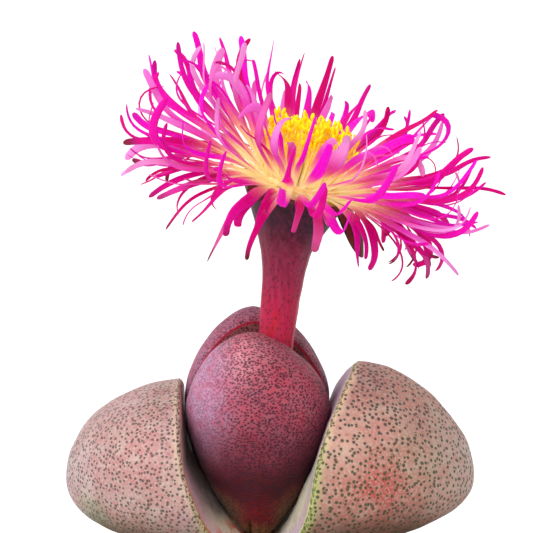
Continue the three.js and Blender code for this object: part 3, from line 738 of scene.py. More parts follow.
def flowerFrame():
    right, forward = flower["tipRight"] * degree, flower["tipForward"] * degree
    cosine, sine = math.cos(right), math.sin(right)
    aboutY = np.array([[cosine, 0, sine], [0, 1, 0], [-sine, 0, cosine]])
    cosine, sine = math.cos(forward), math.sin(forward)
    return aboutY @ np.array([[1, 0, 0], [0, cosine, -sine], [0, sine, cosine]])


flowerTurn = flowerFrame()
flowerCentre = np.array(flower["centre"], float)


def toPlant(points):
    return points @ flowerTurn.T + flowerCentre


# A centripetal Catmull-Rom curve through the points, sampled finely
def smoothPath(points, samples=80):
    points = np.array(points, float)
    ends = [2 * points[0] - points[1], *points, 2 * points[-1] - points[-2]]
    path = []
    for p0, p1, p2, p3 in zip(ends, ends[1:], ends[2:], ends[3:]):
        t0, t1, t2 = (np.linalg.norm(b - a) ** 0.5 for a, b in ((p0, p1), (p1, p2), (p2, p3)))
        leave = ((p1 - p0) / t0 - (p2 - p0) / (t0 + t1) + (p2 - p1) / t1) * t1
        arrive = ((p2 - p1) / t1 - (p3 - p1) / (t1 + t2) + (p3 - p2) / t2) * t1
        square, cube = 3 * (p2 - p1) - 2 * leave - arrive, 2 * (p1 - p2) + leave + arrive
        path += [p1 + leave * s + square * s**2 + cube * s**3 for s in np.arange(samples) / samples]
    return np.array([*path, points[-1]])


def makeStalk():
    path = smoothPath([*stalk["path"], flowerCentre])
    gone = np.concatenate([[0], np.cumsum(np.linalg.norm(np.diff(path, axis=0), axis=1))])
    below = stalk["widths"][-1][0] * (1 - np.linspace(0, 1, stalk["rings"])) ** 1.3
    at = np.clip(gone[-1] - below, 0, None)
    middle, along = (np.stack([np.interp(at, gone, line[:, k]) for k in range(3)], -1)
                     for line in (path, np.gradient(path, axis=0)))
    square, tipped = stalk["tilted"]
    tilt = 1 - smoothStep(tipped, square, below)[:, None]
    along = unit(unit(along) * (1 - tilt) + flowerTurn[:, 2] * tilt)
    steps, widths = np.array(stalk["widths"]).T
    fine = np.linspace(0, steps[-1], 400)
    smoothed = np.interp(fine, steps, widths)
    for _ in range(stalk["smoothing"]):
        smoothed[1:-1] = (smoothed[:-2] + 2 * smoothed[1:-1] + smoothed[2:]) / 4
    right = unit(np.array([1.0, 0, 0]) - along * along[:, :1])
    far = np.cross(along, right)
    angle = np.arange(stalk["sides"]) / stalk["sides"] * turn
    ribs = stalk["ribDepth"] * np.sin(angle * stalk["ribs"] + 0.6) * smoothStep(2, 12, below)[:, None]
    reach = np.interp(below, fine, smoothed)[:, None] * (1 + ribs)
    rings = (
        middle[:, None]
        + (reach * np.cos(angle))[..., None] * right[:, None]
        + (reach * np.sin(angle))[..., None] * far[:, None]
    )
    lowered = np.repeat(below[:, None], stalk["sides"], 1)
    lobeRings, lobeBelow, lobeInside = calyxLobes(angle, reach[-1])
    mesh = skinOver("flower_stalk", np.concatenate([rings, lobeRings]), {
        "below": np.concatenate([lowered, lobeBelow]),
        "inside": np.concatenate([lowered * 0, lobeInside]),
    })
    joinPoints(mesh)
    roughen(mesh, stalk["lump"], lambda points, rough: rough * stalk["unevenness"])
    finishMesh("stalk_and_calyx", mesh, stalkSkin(), "stalk", "flower_stalk")


# Each lobe has its direction and its length. None hangs at the very front.
lobes = {"places": [(-20, 9.5), (45, 6), (112, 5), (172, 4), (232, 2.2)], "halfWidth": 3.1, "thick": 0.6,
         "thinnest": 0.12, "rise": -24, "bend": -48, "steps": 14}


# The rim runs out into unequal lobes: each column of the skin goes out along its lobe and comes back over it.
def calyxLobes(angle, rimRadius):
    reach = np.zeros_like(angle)
    for at, length in lobes["places"]:
        away = np.abs((angle - at * degree + math.pi) % turn - math.pi) * rimRadius / lobes["halfWidth"]
        reach = np.maximum(reach, length * np.clip(1.03 - away**2, 0, None) ** 0.8)
    share = np.linspace(0, 1, lobes["steps"] + 1)[:, None]
    climb = (lobes["rise"] + lobes["bend"] * share) * degree
    span = reach / lobes["steps"]
    out = rimRadius + np.concatenate([0 * span[None], np.cumsum(np.cos(climb[1:]) * span, 0)])
    drop = np.concatenate([0 * span[None], np.cumsum(np.sin(climb[1:]) * span, 0)])
    thick = np.maximum(lobes["thick"] * np.sqrt(1.02 - share), lobes["thinnest"])
    upOut, upRise = -np.sin(climb) * thick, np.cos(climb) * thick
    lip, floor = rimRadius - stalk["lip"] - 0.4, 0 * angle - stalk["recess"]
    columns = [
        *((out[k], drop[k]) for k in range(1, lobes["steps"] + 1)),
        *((out[k] + upOut[k] * 0.4, drop[k] + upRise[k]) for k in range(lobes["steps"], -1, -1)),
        (lip + 0.3, 0.35 + 0 * angle), (lip, 0 * angle), (lip - 0.2, floor), (lip * 0.6, floor),
    ]
    radii, rises = np.array(columns).transpose(1, 0, 2)
    below = np.concatenate([-(share[1:] * reach), -(share[::-1] * reach), np.zeros((4, len(angle)))])
    inside = np.repeat(np.arange(len(columns))[:, None] >= lobes["steps"], len(angle), 1)
    return toPlant(turned(radii, rises, len(angle))), below, inside


stalkLook = {
    "foot": (196, 8, 50), "low": (178, 16, 60), "middle": (128, 26, 56), "calyx": (38, 18, 32),
    "paintedFibreSheen": (176, 74, 116), "blush": (190, 40, 30), "dots": (64, 20, 38), "margin": (84, 46, 34),
    "lobe": (38, 26, 22), "inside": (96, 28, 30),
}


# Below is the distance down from the calyx's rim, and under 0 on its lobes
def stalkSkin():
    skin = Skin("stalk_skin")
    look = stalkLook
    below = skin.attribute("below")
    cloud = skin.grain(5, detail=3.0, stretch=(1, 1, 0.5))
    fibre = skin.grain(0.7, detail=3.0, stretch=(1, 1, 0.12))
    uneven = skin.plus(below, skin.rescale(cloud, 0, 1, -2.5, 2.5))
    blush = skin.times(skin.band(cloud, 0.52, 0.68), skin.band(below, 18, 26))
    # pale lilac streaks along the fibres: a painted sheen over the stalk
    fibres = skin.times(skin.rescale(fibre, 0.35, 0.7, 0, 0.3), skin.rescale(below, 3, 14, 0.45, 1))
    dots = skin.dots(0.85, 0.34, stretch=(1, 1, 0.7), waver=0.2)
    inside = skin.mix(skin.band(cloud, 0.4, 0.6), look["inside"], look["margin"])
    tint = skin.over(look["low"], (skin.band(uneven, 22, 33), look["foot"]),
                     (skin.band(uneven, 24, 12), look["middle"]), (skin.band(uneven, 13, 4), look["calyx"]),
                     (skin.times(blush, 0.55), look["blush"]), (fibres, look["paintedFibreSheen"]),
                     (skin.times(dots, 0.55), look["dots"]), (skin.band(below, 0.2, -0.6), look["lobe"]),
                     (skin.band(skin.maths("ABSOLUTE", below), 0.5, 0.1), look["margin"]),
                     (skin.attribute("inside"), inside))
    relief = skin.bump(skin.times(dots, -1.0), 0.03, under=skin.bump(fibre, 0.1))
    return skin.finish(Base_Color=tint, Roughness=skin.rescale(fibre, 0.3, 0.7, 0.42, 0.58), Normal=relief,
                       Sheen_Weight=0.04, Sheen_Roughness=0.4, Specular_IOR_Level=0.15)


makeStalk()

print("petals")
# The first four whorls repeat the frame's own petals, draw by draw. The others fill in between them.
# Rise, bend, hook and length are a middle value and its spread. A sector has its start and its span.
petalWhorls = [
    {"count": 20, "root": 7.7, "height": 1.4, "length": (23, 3), "rise": (5, 5), "bend": (-72, 24),
     "hook": (-10, 50), "frontCut": 0.42, "dry": (-0.6, 1), "lightest": 0.35},
    {"count": 28, "root": 7.4, "height": 1.6, "length": (29.5, 2.5), "rise": (8, 9), "bend": (-18, 18),
     "hook": (75, 45)},
    {"count": 28, "root": 7.1, "height": 2.1, "length": (27.5, 2.5), "rise": (24, 9), "bend": (-2, 14),
     "hook": (65, 45), "paleSheenInFront": 0.8},
    {"count": 22, "root": 6.8, "height": 2.6, "length": (21, 3), "rise": (45, 9), "bend": (-8, 14),
     "hook": (-25, 55), "paleSheenInFront": 0.8},
    {"count": 24, "root": 7.5, "height": 1.5, "length": (27, 4), "rise": (12, 9), "bend": (-16, 20),
     "hook": (60, 50)},
    {"count": 18, "root": 7.0, "height": 2.3, "length": (24, 4), "rise": (34, 10), "bend": (-4, 16),
     "hook": (30, 60), "sector": (-50, 280)},
    {"count": 20, "root": 7.8, "height": 1.2, "length": (20, 3), "rise": (2, 6), "bend": (-46, 22),
     "hook": (-20, 60), "frontCut": 0.42, "dry": (-0.6, 1), "lightest": 0.35},
    {"count": 13, "root": 7.4, "height": 1.5, "length": (25.5, 2.5), "rise": (-8, 7), "bend": (-4, 12),
     "hook": (10, 50), "sector": (152, 62)},
    {"count": 12, "root": 7.4, "height": 1.5, "length": (27.5, 3), "rise": (4, 7), "bend": (-8, 14),
     "hook": (20, 55), "sector": (-55, 70)},
    {"count": 5, "root": 6.7, "height": 2.5, "length": (18.5, 2.5), "rise": (50, 9), "bend": (-4, 12),
     "hook": (0, 50), "sector": (-122, 80), "broader": 1.4, "paleSheenInFront": 1.0},
    {"count": 10, "root": 7.6, "height": 1.3, "length": (23, 3), "rise": (-2, 6), "bend": (-64, 18),
     "hook": (-10, 60), "sector": (172, 66), "dry": (0, 1), "lightest": 0.35},
    {"count": 7, "root": 7.6, "height": 1.3, "length": (23, 3), "rise": (2, 6), "bend": (-62, 18),
     "hook": (-10, 60), "sector": (-62, 52), "dry": (0, 1), "lightest": 0.35},
]
petal = {
    "rootHalfWidth": 0.4, "halfWidth": (1.05, 0.25), "slimming": 0.7, "tipShare": 0.62, "widths": (0.65, 1.4),
    "steps": 26, "bluntFrom": 0.955, "tipSteps": 6, "whorlTurn": 0.37, "spacingSpread": 0.3, "sway": 12,
    "twist": 70, "roll": 60, "curl": 72, "waver": 8, "beats": (1.0, 2.4), "leftLift": 8, "frontLift": 2,
    "steepest": 70, "lowest": -92, "thickness": 0.16, "channel": 0.22, "sectionSides": 8, "seed": 2737,
    "waverSeed": 31,
}


# The middle line of a petal with its width, the way its upper side looks, and values for the skin
def petalRail(whorl, angle, share, draw, waverDraw):
    def around(pair):
        return pair[0] + draw(-1, 1) * pair[1]

    towardsFront, towardsLeft = max(0, -math.sin(angle)), max(0, -math.cos(angle))
    fullWidth = around(petal["halfWidth"]) * petal["slimming"]
    length = around(whorl["length"]) * (1 - whorl.get("frontCut", 0) * towardsFront**2)
    rise = around(whorl["rise"]) + petal["frontLift"] * towardsFront + petal["leftLift"] * towardsLeft
    bend = around(whorl["bend"])
    rise = min(rise, petal["steepest"] - max(0, bend))
    hook = max(around(whorl["hook"]), petal["lowest"] - rise - bend)
    sway, twist = around((0, petal["sway"])), around((0, petal["twist"]))
    swing = [petal["waver"] * waverDraw(-1, 1) for _ in range(2)]
    phase, beats = waverDraw(0, turn), waverDraw(*petal["beats"])
    curl = petal["curl"] * waverDraw(-1, 1)
    fullWidth *= waverDraw(*petal["widths"]) * whorl.get("broader", 1)
    wave = np.sin(turn * beats * share + phase) * share
    heading = angle + (sway * share**2 + swing[0] * wave) * degree
    curved = rise + bend * share**1.4 + hook * smoothStep(0.55, 1, share)
    climb = (curved + swing[1] * wave + curl * smoothStep(0.75, 1, share)) * degree
    outward = np.stack([np.cos(heading), np.sin(heading), 0 * heading], -1)
    beside = np.stack([-outward[:, 1], outward[:, 0], 0 * heading], -1)
    along = outward * np.cos(climb)[:, None] + np.sin(climb)[:, None] * np.array([0, 0, 1])
    upper = np.cross(along, beside)
    roll = (waverDraw(-petal["roll"], petal["roll"]) * share**3 - twist * share) * degree
    gone = (along[:-1] + along[1:]) / 2 * (np.diff(share) * length)[:, None]
    foot = np.array([whorl["root"] * math.cos(angle), whorl["root"] * math.sin(angle), whorl["height"]])
    width = lerp(petal["rootHalfWidth"], fullWidth, smoothStep(0.05, 0.5, share))
    width = lerp(width, fullWidth * petal["tipShare"], smoothStep(0.6, 1.0, share))
    blunt = np.clip(share - petal["bluntFrom"], 0, None) / (1 - petal["bluntFrom"])
    dry = waverDraw(*whorl.get("dry", (-0.6, 0.3)))
    # some petals, most of them in front, get a pale painted sheen over the middle of the blade
    palest = whorl.get("paleSheenInFront", 0.2) if towardsFront > 0.2 else 0.2
    paleSheen = waverDraw(0.4, 1.0) if waverDraw(0, 1) < palest else 0.0
    lightest = whorl.get("lightest", 1)
    return {
        "points": foot + np.concatenate([[(0, 0, 0)], np.cumsum(gone, 0)]),
        "faceUp": upper * np.cos(roll)[:, None] + np.cross(along, upper) * np.sin(roll)[:, None],
        "width": width * np.sqrt(np.clip(1.02 - blunt**2, 0, 1)),
        "along": share, "dry": dry, "paleSheen": paleSheen * lightest, "shade": waverDraw(0, lightest),
    }


def petalRails():
    draw, waverDraw = seededDraws(petal["seed"]), seededDraws(petal["waverSeed"])
    bluntFrom = petal["bluntFrom"]
    tipEnd = bluntFrom + (1 - bluntFrom) * np.sin(np.linspace(0.2, 1, petal["tipSteps"]) * turn / 4)
    share = np.concatenate([np.linspace(0, bluntFrom, petal["steps"] + 1), tipEnd])
    rails = []
    for level, whorl in enumerate(petalWhorls):
        start, span = whorl.get("sector", (0, 360))
        for i in range(whorl["count"]):
            place = i + petal["whorlTurn"] * level + draw(-petal["spacingSpread"], petal["spacingSpread"])
            angle = (start + place * span / whorl["count"]) * degree
            rails.append(petalRail(whorl, angle, share, draw, waverDraw))
    return rails


# Each rail is swept with a channelled section, as wide as the rail says
def bladeGrowth():
    growth = Growth("bladesAlongRails")
    thickness, channel = growth.input("Thickness"), growth.input("Channel")
    sides, skin = growth.input("Section Sides", "Int"), growth.input("Skin", "Material")
    curve = growth.shape("MeshToCurve", Mesh=growth.entry.outputs["Geometry"])
    faceUp = growth.attribute("faceUp", "FLOAT_VECTOR")
    curve = growth.shape("SetCurveNormal", Curve=curve, Normal=faceUp, mode="FREE")
    circle = growth.shape("CurvePrimitiveCircle", Resolution=sides, Radius=1.0)
    place = growth.node("ShaderNodeSeparateXYZ", growth.shape("InputPosition"), output=None)
    circle = growth.shape("StoreNamedAttribute", Geometry=circle, Name="side", Value=place["X"],
                          data_type="FLOAT", domain="POINT")
    curved = growth.times(growth.times(place["X"], place["X"]), channel)
    deep = growth.plus(growth.times(place["Y"], thickness), curved)
    flat = growth.node("ShaderNodeCombineXYZ", X=deep, Y=place["X"])
    section = growth.shape("SetPosition", Geometry=circle, Position=flat)
    blades = growth.shape("CurveToMesh", Curve=curve, Profile_Curve=section, Fill_Caps=True,
                          Scale=growth.attribute("halfWidth"))
    return growth.finish(blades, skin)


# The rails as edges of one mesh, in their place on the plant, with values at their points
def railCarrier(name, rails, extras):
    edges, first = [], 0
    for rail in rails:
        count = len(rail["points"])
        edges += [(first + k, first + k + 1) for k in range(count - 1)]
        first += count
    points, faceUp, width = (np.concatenate([rail[key] for rail in rails])
                             for key in ("points", "faceUp", "width"))
    mesh = newMesh(name, toPlant(points), edges)
    setAttribute(mesh, "halfWidth", width * mm)
    setAttribute(mesh, "faceUp", faceUp @ flowerTurn.T, "FLOAT_VECTOR")
    for key in extras:
        setAttribute(mesh, key, np.concatenate([np.zeros(len(rail["points"])) + rail[key] for rail in rails]))
    return newObject(name, mesh)


# Glow is how much light passes through, at the root and on the blade. The roots also get a faint emission of
# their own colour, a painted glow that stands in for light scattered among them.
petalLook = {
    "root": (255, 244, 204), "rootStreak": (255, 252, 236), "throat": (255, 208, 208), "blade": (255, 0, 224),
    "light": (255, 70, 255), "deep": (232, 0, 138), "paleSheen": (255, 208, 250), "dry": (158, 66, 70),
    "glow": (0.82, 0.68), "paintedGlow": 0.5,
}


def petalSkin():
    skin = Skin("petal_skin")
    look = petalLook
    along, side, dry, paleSheen, shade = (skin.attribute(name)
                                     for name in ("along", "side", "dry", "paleSheen", "shade"))
    fine = skin.grain(0.5, detail=2.0)
    uneven = skin.plus(along, skin.rescale(fine, 0, 1, -0.06, 0.06))
    # streaks that run the length of each petal, with a lighter margin
    streak = skin.lines(skin.plus(side, skin.times(shade, 40.0)), 0.5)
    streak = skin.plus(streak, skin.rescale(fine, 0, 1, -0.12, 0.12))
    margin = skin.times(skin.band(skin.maths("ABSOLUTE", side), 0.6, 1.0), 0.4)
    streakAmount = skin.times(skin.rescale(streak, 0.4, 0.65, 0, 0.7), skin.rescale(shade, 0.1, 0.6, 0.3, 1))
    blade = skin.mix(streakAmount, skin.mix(shade, look["deep"], look["blade"]), look["light"])
    blade = skin.mix(margin, blade, look["light"])
    root = skin.mix(skin.rescale(streak, 0.4, 0.65, 0, 0.6), look["root"], look["rootStreak"])
    # the pale painted sheen on some petals
    paleness = skin.times(paleSheen, skin.band(uneven, 0.35, 0.85))
    tint = skin.over(root, (skin.band(uneven, 0.16, 0.38), look["throat"]),
                     (skin.band(uneven, 0.28, 0.58), blade), (skin.times(paleness, 0.95), look["paleSheen"]),
                     (skin.times(dry, skin.band(uneven, 0.84, 1.0)), look["dry"]))
    relief = skin.bump(streak, 0.04)
    # the crowded roots get a faint emission, a painted glow that stands in for light scattering among the
    # thin petals
    paintedRootGlow = skin.times(skin.band(uneven, 0.42, 0.08), look["paintedGlow"])
    skin.finish(Base_Color=tint, Roughness=0.45, Normal=relief, Specular_IOR_Level=0.15,
                Emission_Color=tint, Emission_Strength=paintedRootGlow)
    glow = skin.node("ShaderNodeBsdfTranslucent", Color=tint, Normal=relief)
    share = skin.rescale(along, 0.1, 0.5, *look["glow"])
    both = skin.node("ShaderNodeMixShader", share, skin.shader.outputs[0], glow)
    skin.feed(skin.tree.nodes["Material Output"].inputs["Surface"], both)
    return skin.material


def makePetals():
    carrier = railCarrier("petals_in_whorls", petalRails(), ("along", "dry", "paleSheen", "shade"))
    bladeGrowth().grow(carrier, Thickness=petal["thickness"], Channel=petal["channel"],
                       Section_Sides=petal["sectionSides"], Skin=petalSkin())
    finishPiece(carrier, "petal", "petals")


collar = {"innerRadius": 6.5, "outerRadius": 8.3, "low": -0.7, "shoulder": 1.2, "high": 2.6, "innerHigh": 2.2,
          "sides": 96}


def collarSkin():
    skin = Skin("collar_skin")
    fold = skin.grain(1.2, detail=3.0)
    tint = skin.mix(skin.band(fold, 0.35, 0.65), (244, 204, 140), (252, 226, 170))
    return skin.finish(Base_Color=tint, Roughness=0.6, Normal=skin.bump(fold, 0.2), Specular_IOR_Level=0.2)


# The ring that carries the petals. Its profile closes on itself.
def makeCollar():
    inner, outer = collar["innerRadius"], collar["outerRadius"]
    corners = [(inner, collar["low"]), (outer, collar["low"]), (outer - 0.2, collar["shoulder"]),
               ((inner + outer) / 2, collar["high"]), (inner, collar["innerHigh"])]
    profile = roundedPath([corners[-1], *corners, corners[0]], 0.8, 4)[1:-1]
    rings = toPlant(turned(profile[:, :1], profile[:, 1:], collar["sides"]))
    mesh = newMesh("petal_collar", rings.reshape(-1, 3), faces=ringFaces(rings, len(rings)))
    mesh.shade_smooth()
    finishMesh("petal_collar", mesh, collarSkin(), "petal")


makePetals()
makeCollar()

print("stamens and stigmas")
# Ring and lean go from the innermost thread to the outermost
stamens = {"count": 360, "ring": (3.4, 6.0), "floor": -0.2, "lean": (-12, 16), "leanSpread": 5, "length": 11,
           "lengthSpread": 1.9, "bow": 0.7, "radius": 0.11, "taper": 0, "steps": 8, "antherWidth": 0.36,
           "antherLength": 2.1, "antherTilt": 0.7, "antherSizes": (0.75, 1.2), "seed": 77}


# Threads that start on a ring inside the flower, lean outwards and bow a little
def threadRails(threads):
    draw = seededDraws(threads["seed"])
    share = np.arange(threads["steps"] + 1) / threads["steps"]
    rails = []
    for i in range(threads["count"]):
        angle = i * goldenAngle + draw(-0.2, 0.2)
        outward = np.array([math.cos(angle), math.sin(angle), 0])
        beside = np.array([-math.sin(angle), math.cos(angle), 0])
        place = (i + 0.5) / threads["count"]
        lean = (lerp(*threads["lean"], place) + draw(-1, 1) * threads["leanSpread"]) * degree
        length = threads["length"] + draw(-1, 1) * threads["lengthSpread"]
        bow = (outward * draw(-0.3, 1) + beside * draw(-0.8, 0.8)) * threads["bow"]
        start = outward * lerp(*threads["ring"], place) + np.array([0, 0, threads["floor"]])
        straight = outward * math.sin(lean) + np.array([0, 0, math.cos(lean)])
        rails.append({
            "points": start + straight * (share * length)[:, None] + np.sin(share * math.pi)[:, None] * bow,
            "faceUp": np.repeat(beside[None], len(share), 0),
            "width": threads["radius"] * (1 - threads["taper"] * share**1.5),
            "along": share, "tip": share == 1, "shade": draw(0, 1),
        })
    return rails


def antherGrowth():
    growth = Growth("anthersOnThreads")
    width, stretch, radius = growth.input("Width"), growth.input("Stretch"), growth.input("Thread Radius")
    skin, plain = growth.input("Skin", "Material"), growth.input("Thread Skin", "Material")
    seed = growth.input("Seed", "Int")
    rails = growth.entry.outputs["Geometry"]
    circle = growth.shape("CurvePrimitiveCircle", Resolution=5, Radius=radius)
    curve = growth.shape("MeshToCurve", Mesh=rails)
    threads = growth.shape("CurveToMesh", Curve=curve, Profile_Curve=circle, Fill_Caps=True)
    tips = growth.shape("MeshToPoints", Mesh=rails, Selection=growth.isSet("tip"))
    bean = growth.shape("MeshIcoSphere", Radius=width, Subdivisions=2)
    longer = growth.node("ShaderNodeCombineXYZ", X=1.0, Y=0.75, Z=stretch)
    bean = growth.shape("Transform", Geometry=bean, Scale=longer)
    tilt = growth.turns(stamens["antherTilt"], seed)
    size = growth.random(*stamens["antherSizes"], growth.plus(seed, 1.0))
    beans = growth.shape("InstanceOnPoints", Points=tips, Instance=bean, Rotation=tilt, Scale=size)
    return growth.finish(growth.join(growth.paint(threads, plain), growth.paint(beans, skin)))


def pollenSkin():
    skin = Skin("pollen_skin")
    speck = skin.grain(0.25, detail=2.0)
    tint = skin.over((255, 198, 0), (skin.attribute("shade"), (255, 226, 6)),
                     (skin.band(speck, 0.5, 0.7), (255, 236, 60)))
    # the faint emission is a painted glow that makes the anthers look brighter
    return skin.finish(Base_Color=tint, Roughness=0.75, Normal=skin.bump(speck, 0.06), Specular_IOR_Level=0.1,
                       Emission_Color=tint, Emission_Strength=0.06)


def threadSkin():
    skin = Skin("thread_skin")
    tint = skin.over((255, 240, 200), (skin.band(skin.attribute("along"), 0.1, 0.8), (255, 216, 60)),
                     (skin.rescale(skin.grain(0.6), 0.3, 0.7, 0, 0.3), (255, 246, 220)))
    # the faint emission is a painted glow that lightens the crowded threads
    return skin.finish(Base_Color=tint, Roughness=0.5, Specular_IOR_Level=0.1,
                       Emission_Color=tint, Emission_Strength=0.12)


def makeStamens():
    carrier = railCarrier("stamens_with_anthers", threadRails(stamens), ("along", "tip", "shade"))
    antherGrowth().grow(carrier, Width=stamens["antherWidth"] * mm, Stretch=stamens["antherLength"],
                        Seed=stamens["seed"], Skin=pollenSkin(), Thread_Skin=threadSkin(),
                        Thread_Radius=stamens["radius"] * mm)
    finishPiece(carrier, "stamen", "stamens")


stigmas = {"count": 12, "ring": (1.395, 1.395), "floor": -0.1, "lean": (9, 9), "leanSpread": 4, "length": 5.6,
           "lengthSpread": 0.5, "bow": 0.5, "radius": 0.32, "taper": 0.75, "steps": 12, "sectionSides": 10,
           "seed": 5}
pad = {"radius": 3.1, "floor": -0.7, "top": 0.4, "scallop": 0.05, "sides": 48}


def stigmaSkin():
    skin = Skin("stigma_skin")
    fluff = skin.grain(0.3, detail=3.0)
    tint = skin.mix(skin.band(fluff, 0.35, 0.65), (214, 190, 110), (236, 214, 150))
    return skin.finish(Base_Color=tint, Roughness=0.7, Normal=skin.bump(fluff, 0.08))


def makeStigmas():
    skin = stigmaSkin()
    carrier = railCarrier("stigma_rays", threadRails(stigmas), ("along", "shade"))
    bladeGrowth().grow(carrier, Thickness=1.0, Channel=0.0, Section_Sides=stigmas["sectionSides"], Skin=skin)
    finishPiece(carrier, "stigma", "stigmas")
    profile = roundedPath([(0.1, pad["floor"]), (pad["radius"], pad["floor"]),
                           (pad["radius"] - 0.6, pad["top"]), (0.1, pad["top"] - 0.3)], 0.5, 5)
    angle = np.arange(pad["sides"]) / pad["sides"] * turn
    reach = profile[:, :1] * (1 + pad["scallop"] * np.cos(angle * stigmas["count"]))
    mesh = skinOver("ovary_top", toPlant(turned(reach, profile[:, 1:], pad["sides"])))
    finishMesh("ovary_top", mesh, skin, "stigma")


makeStamens()
makeStigmas()

print("crown")


def crownSkin():
    skin = Skin("crown_skin")
    height = skin.height()
    fold = skin.grain(1.5, detail=3.0, stretch=(1, 1, 0.25))
    tint = skin.over((176, 178, 128), (skin.band(height, 84, 79), (150, 116, 80)),
                     (skin.rescale(fold, 0.35, 0.7, 0, 0.6), (186, 120, 76)),
                     (skin.band(height, 79, 74), (92, 66, 48)))
    return skin.finish(Base_Color=tint, Roughness=0.6, Normal=skin.bump(fold, 0.4))


def makeCrown():
    mesh = skinOver("crown_and_root", crownRings())
    roughen(mesh, crown["lump"],
            lambda points, rough: rough * crown["unevenness"] * smoothStep(60, 80, points[:, 2]))
    finishMesh("crown_with_taproot", mesh, crownSkin(), "crown", "crown_and_root")


makeCrown()

print("pot, soil and grit")
pot = {"rimRadius": 42, "height": 75, "footRadius": 29, "wall": 4, "floor": 5, "bandHeight": 16,
       "bandStep": 2.2, "taper": 0.7, "drainRadius": 6, "segments": 160, "ringLift": 0.1, "ringGap": 2.6,
       "rounding": 1.5, "profileStep": 1.1, "circleRadius": 30}


def innerRadiusAt(height):
    share = (height - pot["floor"]) / (pot["height"] - pot["floor"])
    return lerp(pot["footRadius"] - pot["wall"] + 0.5, pot["rimRadius"] - pot["wall"], share)


# A closed profile is carried round a circle, and its surface gets the faint rings of the potter's wheel
def latheGrowth():
    growth = Growth("turnedOnTheWheel")
    radius, segments = growth.input("Radius"), growth.input("Segments", "Int")
    lift, gap, skin = growth.input("Ring Lift"), growth.input("Ring Gap"), growth.input("Skin", "Material")
    profile = growth.shape("MeshToCurve", Mesh=growth.entry.outputs["Geometry"])
    circle = growth.shape("CurvePrimitiveCircle", Resolution=segments, Radius=radius)
    circle = growth.shape("SetCurveNormal", Curve=circle, Normal=(0.0, 0.0, 1.0), mode="FREE")
    body = growth.shape("CurveToMesh", Curve=circle, Profile_Curve=profile)
    squeezed = growth.vectors("MULTIPLY", growth.shape("InputPosition"), (0.12, 0.12, 1.0))
    fineness = growth.maths("DIVIDE", 1.0, gap)
    rough = growth.node("ShaderNodeTexNoise", Vector=squeezed, Scale=fineness, Detail=2.0)
    amount = growth.times(growth.maths("SUBTRACT", rough, 0.5), growth.times(lift, 2.0))
    offset = growth.vectors("SCALE", growth.shape("InputNormal"), Scale=amount)
    return growth.finish(growth.shape("SetPosition", Geometry=body, Offset=offset), skin)


def terracottaSkin():
    skin = Skin("terracotta_skin")
    cloud, speck = skin.grain(14, detail=4.0), skin.grain(0.9, detail=4.0, roughness=0.7)
    wheel = skin.grain(1.6, detail=2.0, stretch=(0.08, 0.08, 1))
    salt = skin.band(skin.grain(6, detail=5.0, roughness=0.65), 0.5, 0.68)
    salt = skin.times(salt, skin.band(skin.height(), 10, 70))
    tint = skin.over((188, 108, 74), (skin.band(cloud, 0.35, 0.65), (204, 128, 92)),
                     (skin.rescale(wheel, 0.3, 0.7, 0, 0.35), (168, 90, 60)),
                     (skin.times(salt, 0.4), (226, 202, 184)),
                     (skin.rescale(speck, 0.58, 0.75, 0, 0.5), (140, 76, 52)))
    relief = skin.bump(wheel, 0.16, under=skin.bump(speck, 0.14))
    return skin.finish(Base_Color=tint, Roughness=skin.rescale(speck, 0.3, 0.7, 0.78, 0.95), Normal=relief)


# The profile starts and ends in the wall of the drain hole
def makePot():
    rim, foot, drain, height, floor = (pot[key] for key in
                                       ("rimRadius", "footRadius", "drainRadius", "height", "floor"))
    under, side = height - pot["bandHeight"], rim - pot["taper"]
    path = roundedPath([
        (drain, floor / 2), (drain, 0), (foot, 0), (side - pot["bandStep"], under - 0.6), (side, under + 0.4),
        (rim, height), (rim - pot["wall"], height), (innerRadiusAt(floor), floor), (drain, floor),
        (drain, floor / 2),
    ], pot["rounding"], 7)
    profile = [path[0]]
    for start, end in zip(path, path[1:]):
        pieces = max(1, round(np.linalg.norm(end - start) / pot["profileStep"]))
        profile += list(np.linspace(start, end, pieces + 1)[1:])
    reach, level = np.array(profile[:-1]).T
    points = np.stack([level, reach - pot["circleRadius"], 0 * level], -1)
    mesh = newMesh("pot_profile", points, [(i, (i + 1) % len(points)) for i in range(len(points))])
    carrier = newObject("turned_pot", mesh)
    latheGrowth().grow(carrier, Radius=pot["circleRadius"] * mm, Segments=pot["segments"],
                       Ring_Lift=pot["ringLift"] * mm, Ring_Gap=pot["ringGap"] * mm, Skin=terracottaSkin())
    finishPiece(carrier, "terracotta", "pot")


grit = {"soilTop": 66, "wallHeight": 72.4, "heapHeight": 82, "heapRadius": 21, "innerRadius": 8, "rings": 40,
        "sides": 120, "gap": 0.3, "spacing": 2.0, "radius": 1.25, "smallest": 0.7, "largest": 1.5, "kinds": 6,
        "stoneNoise": 520.0, "push": 1.7, "tilt": 0.6, "bedLump": 3, "bedUnevenness": 0.4, "seed": 11}


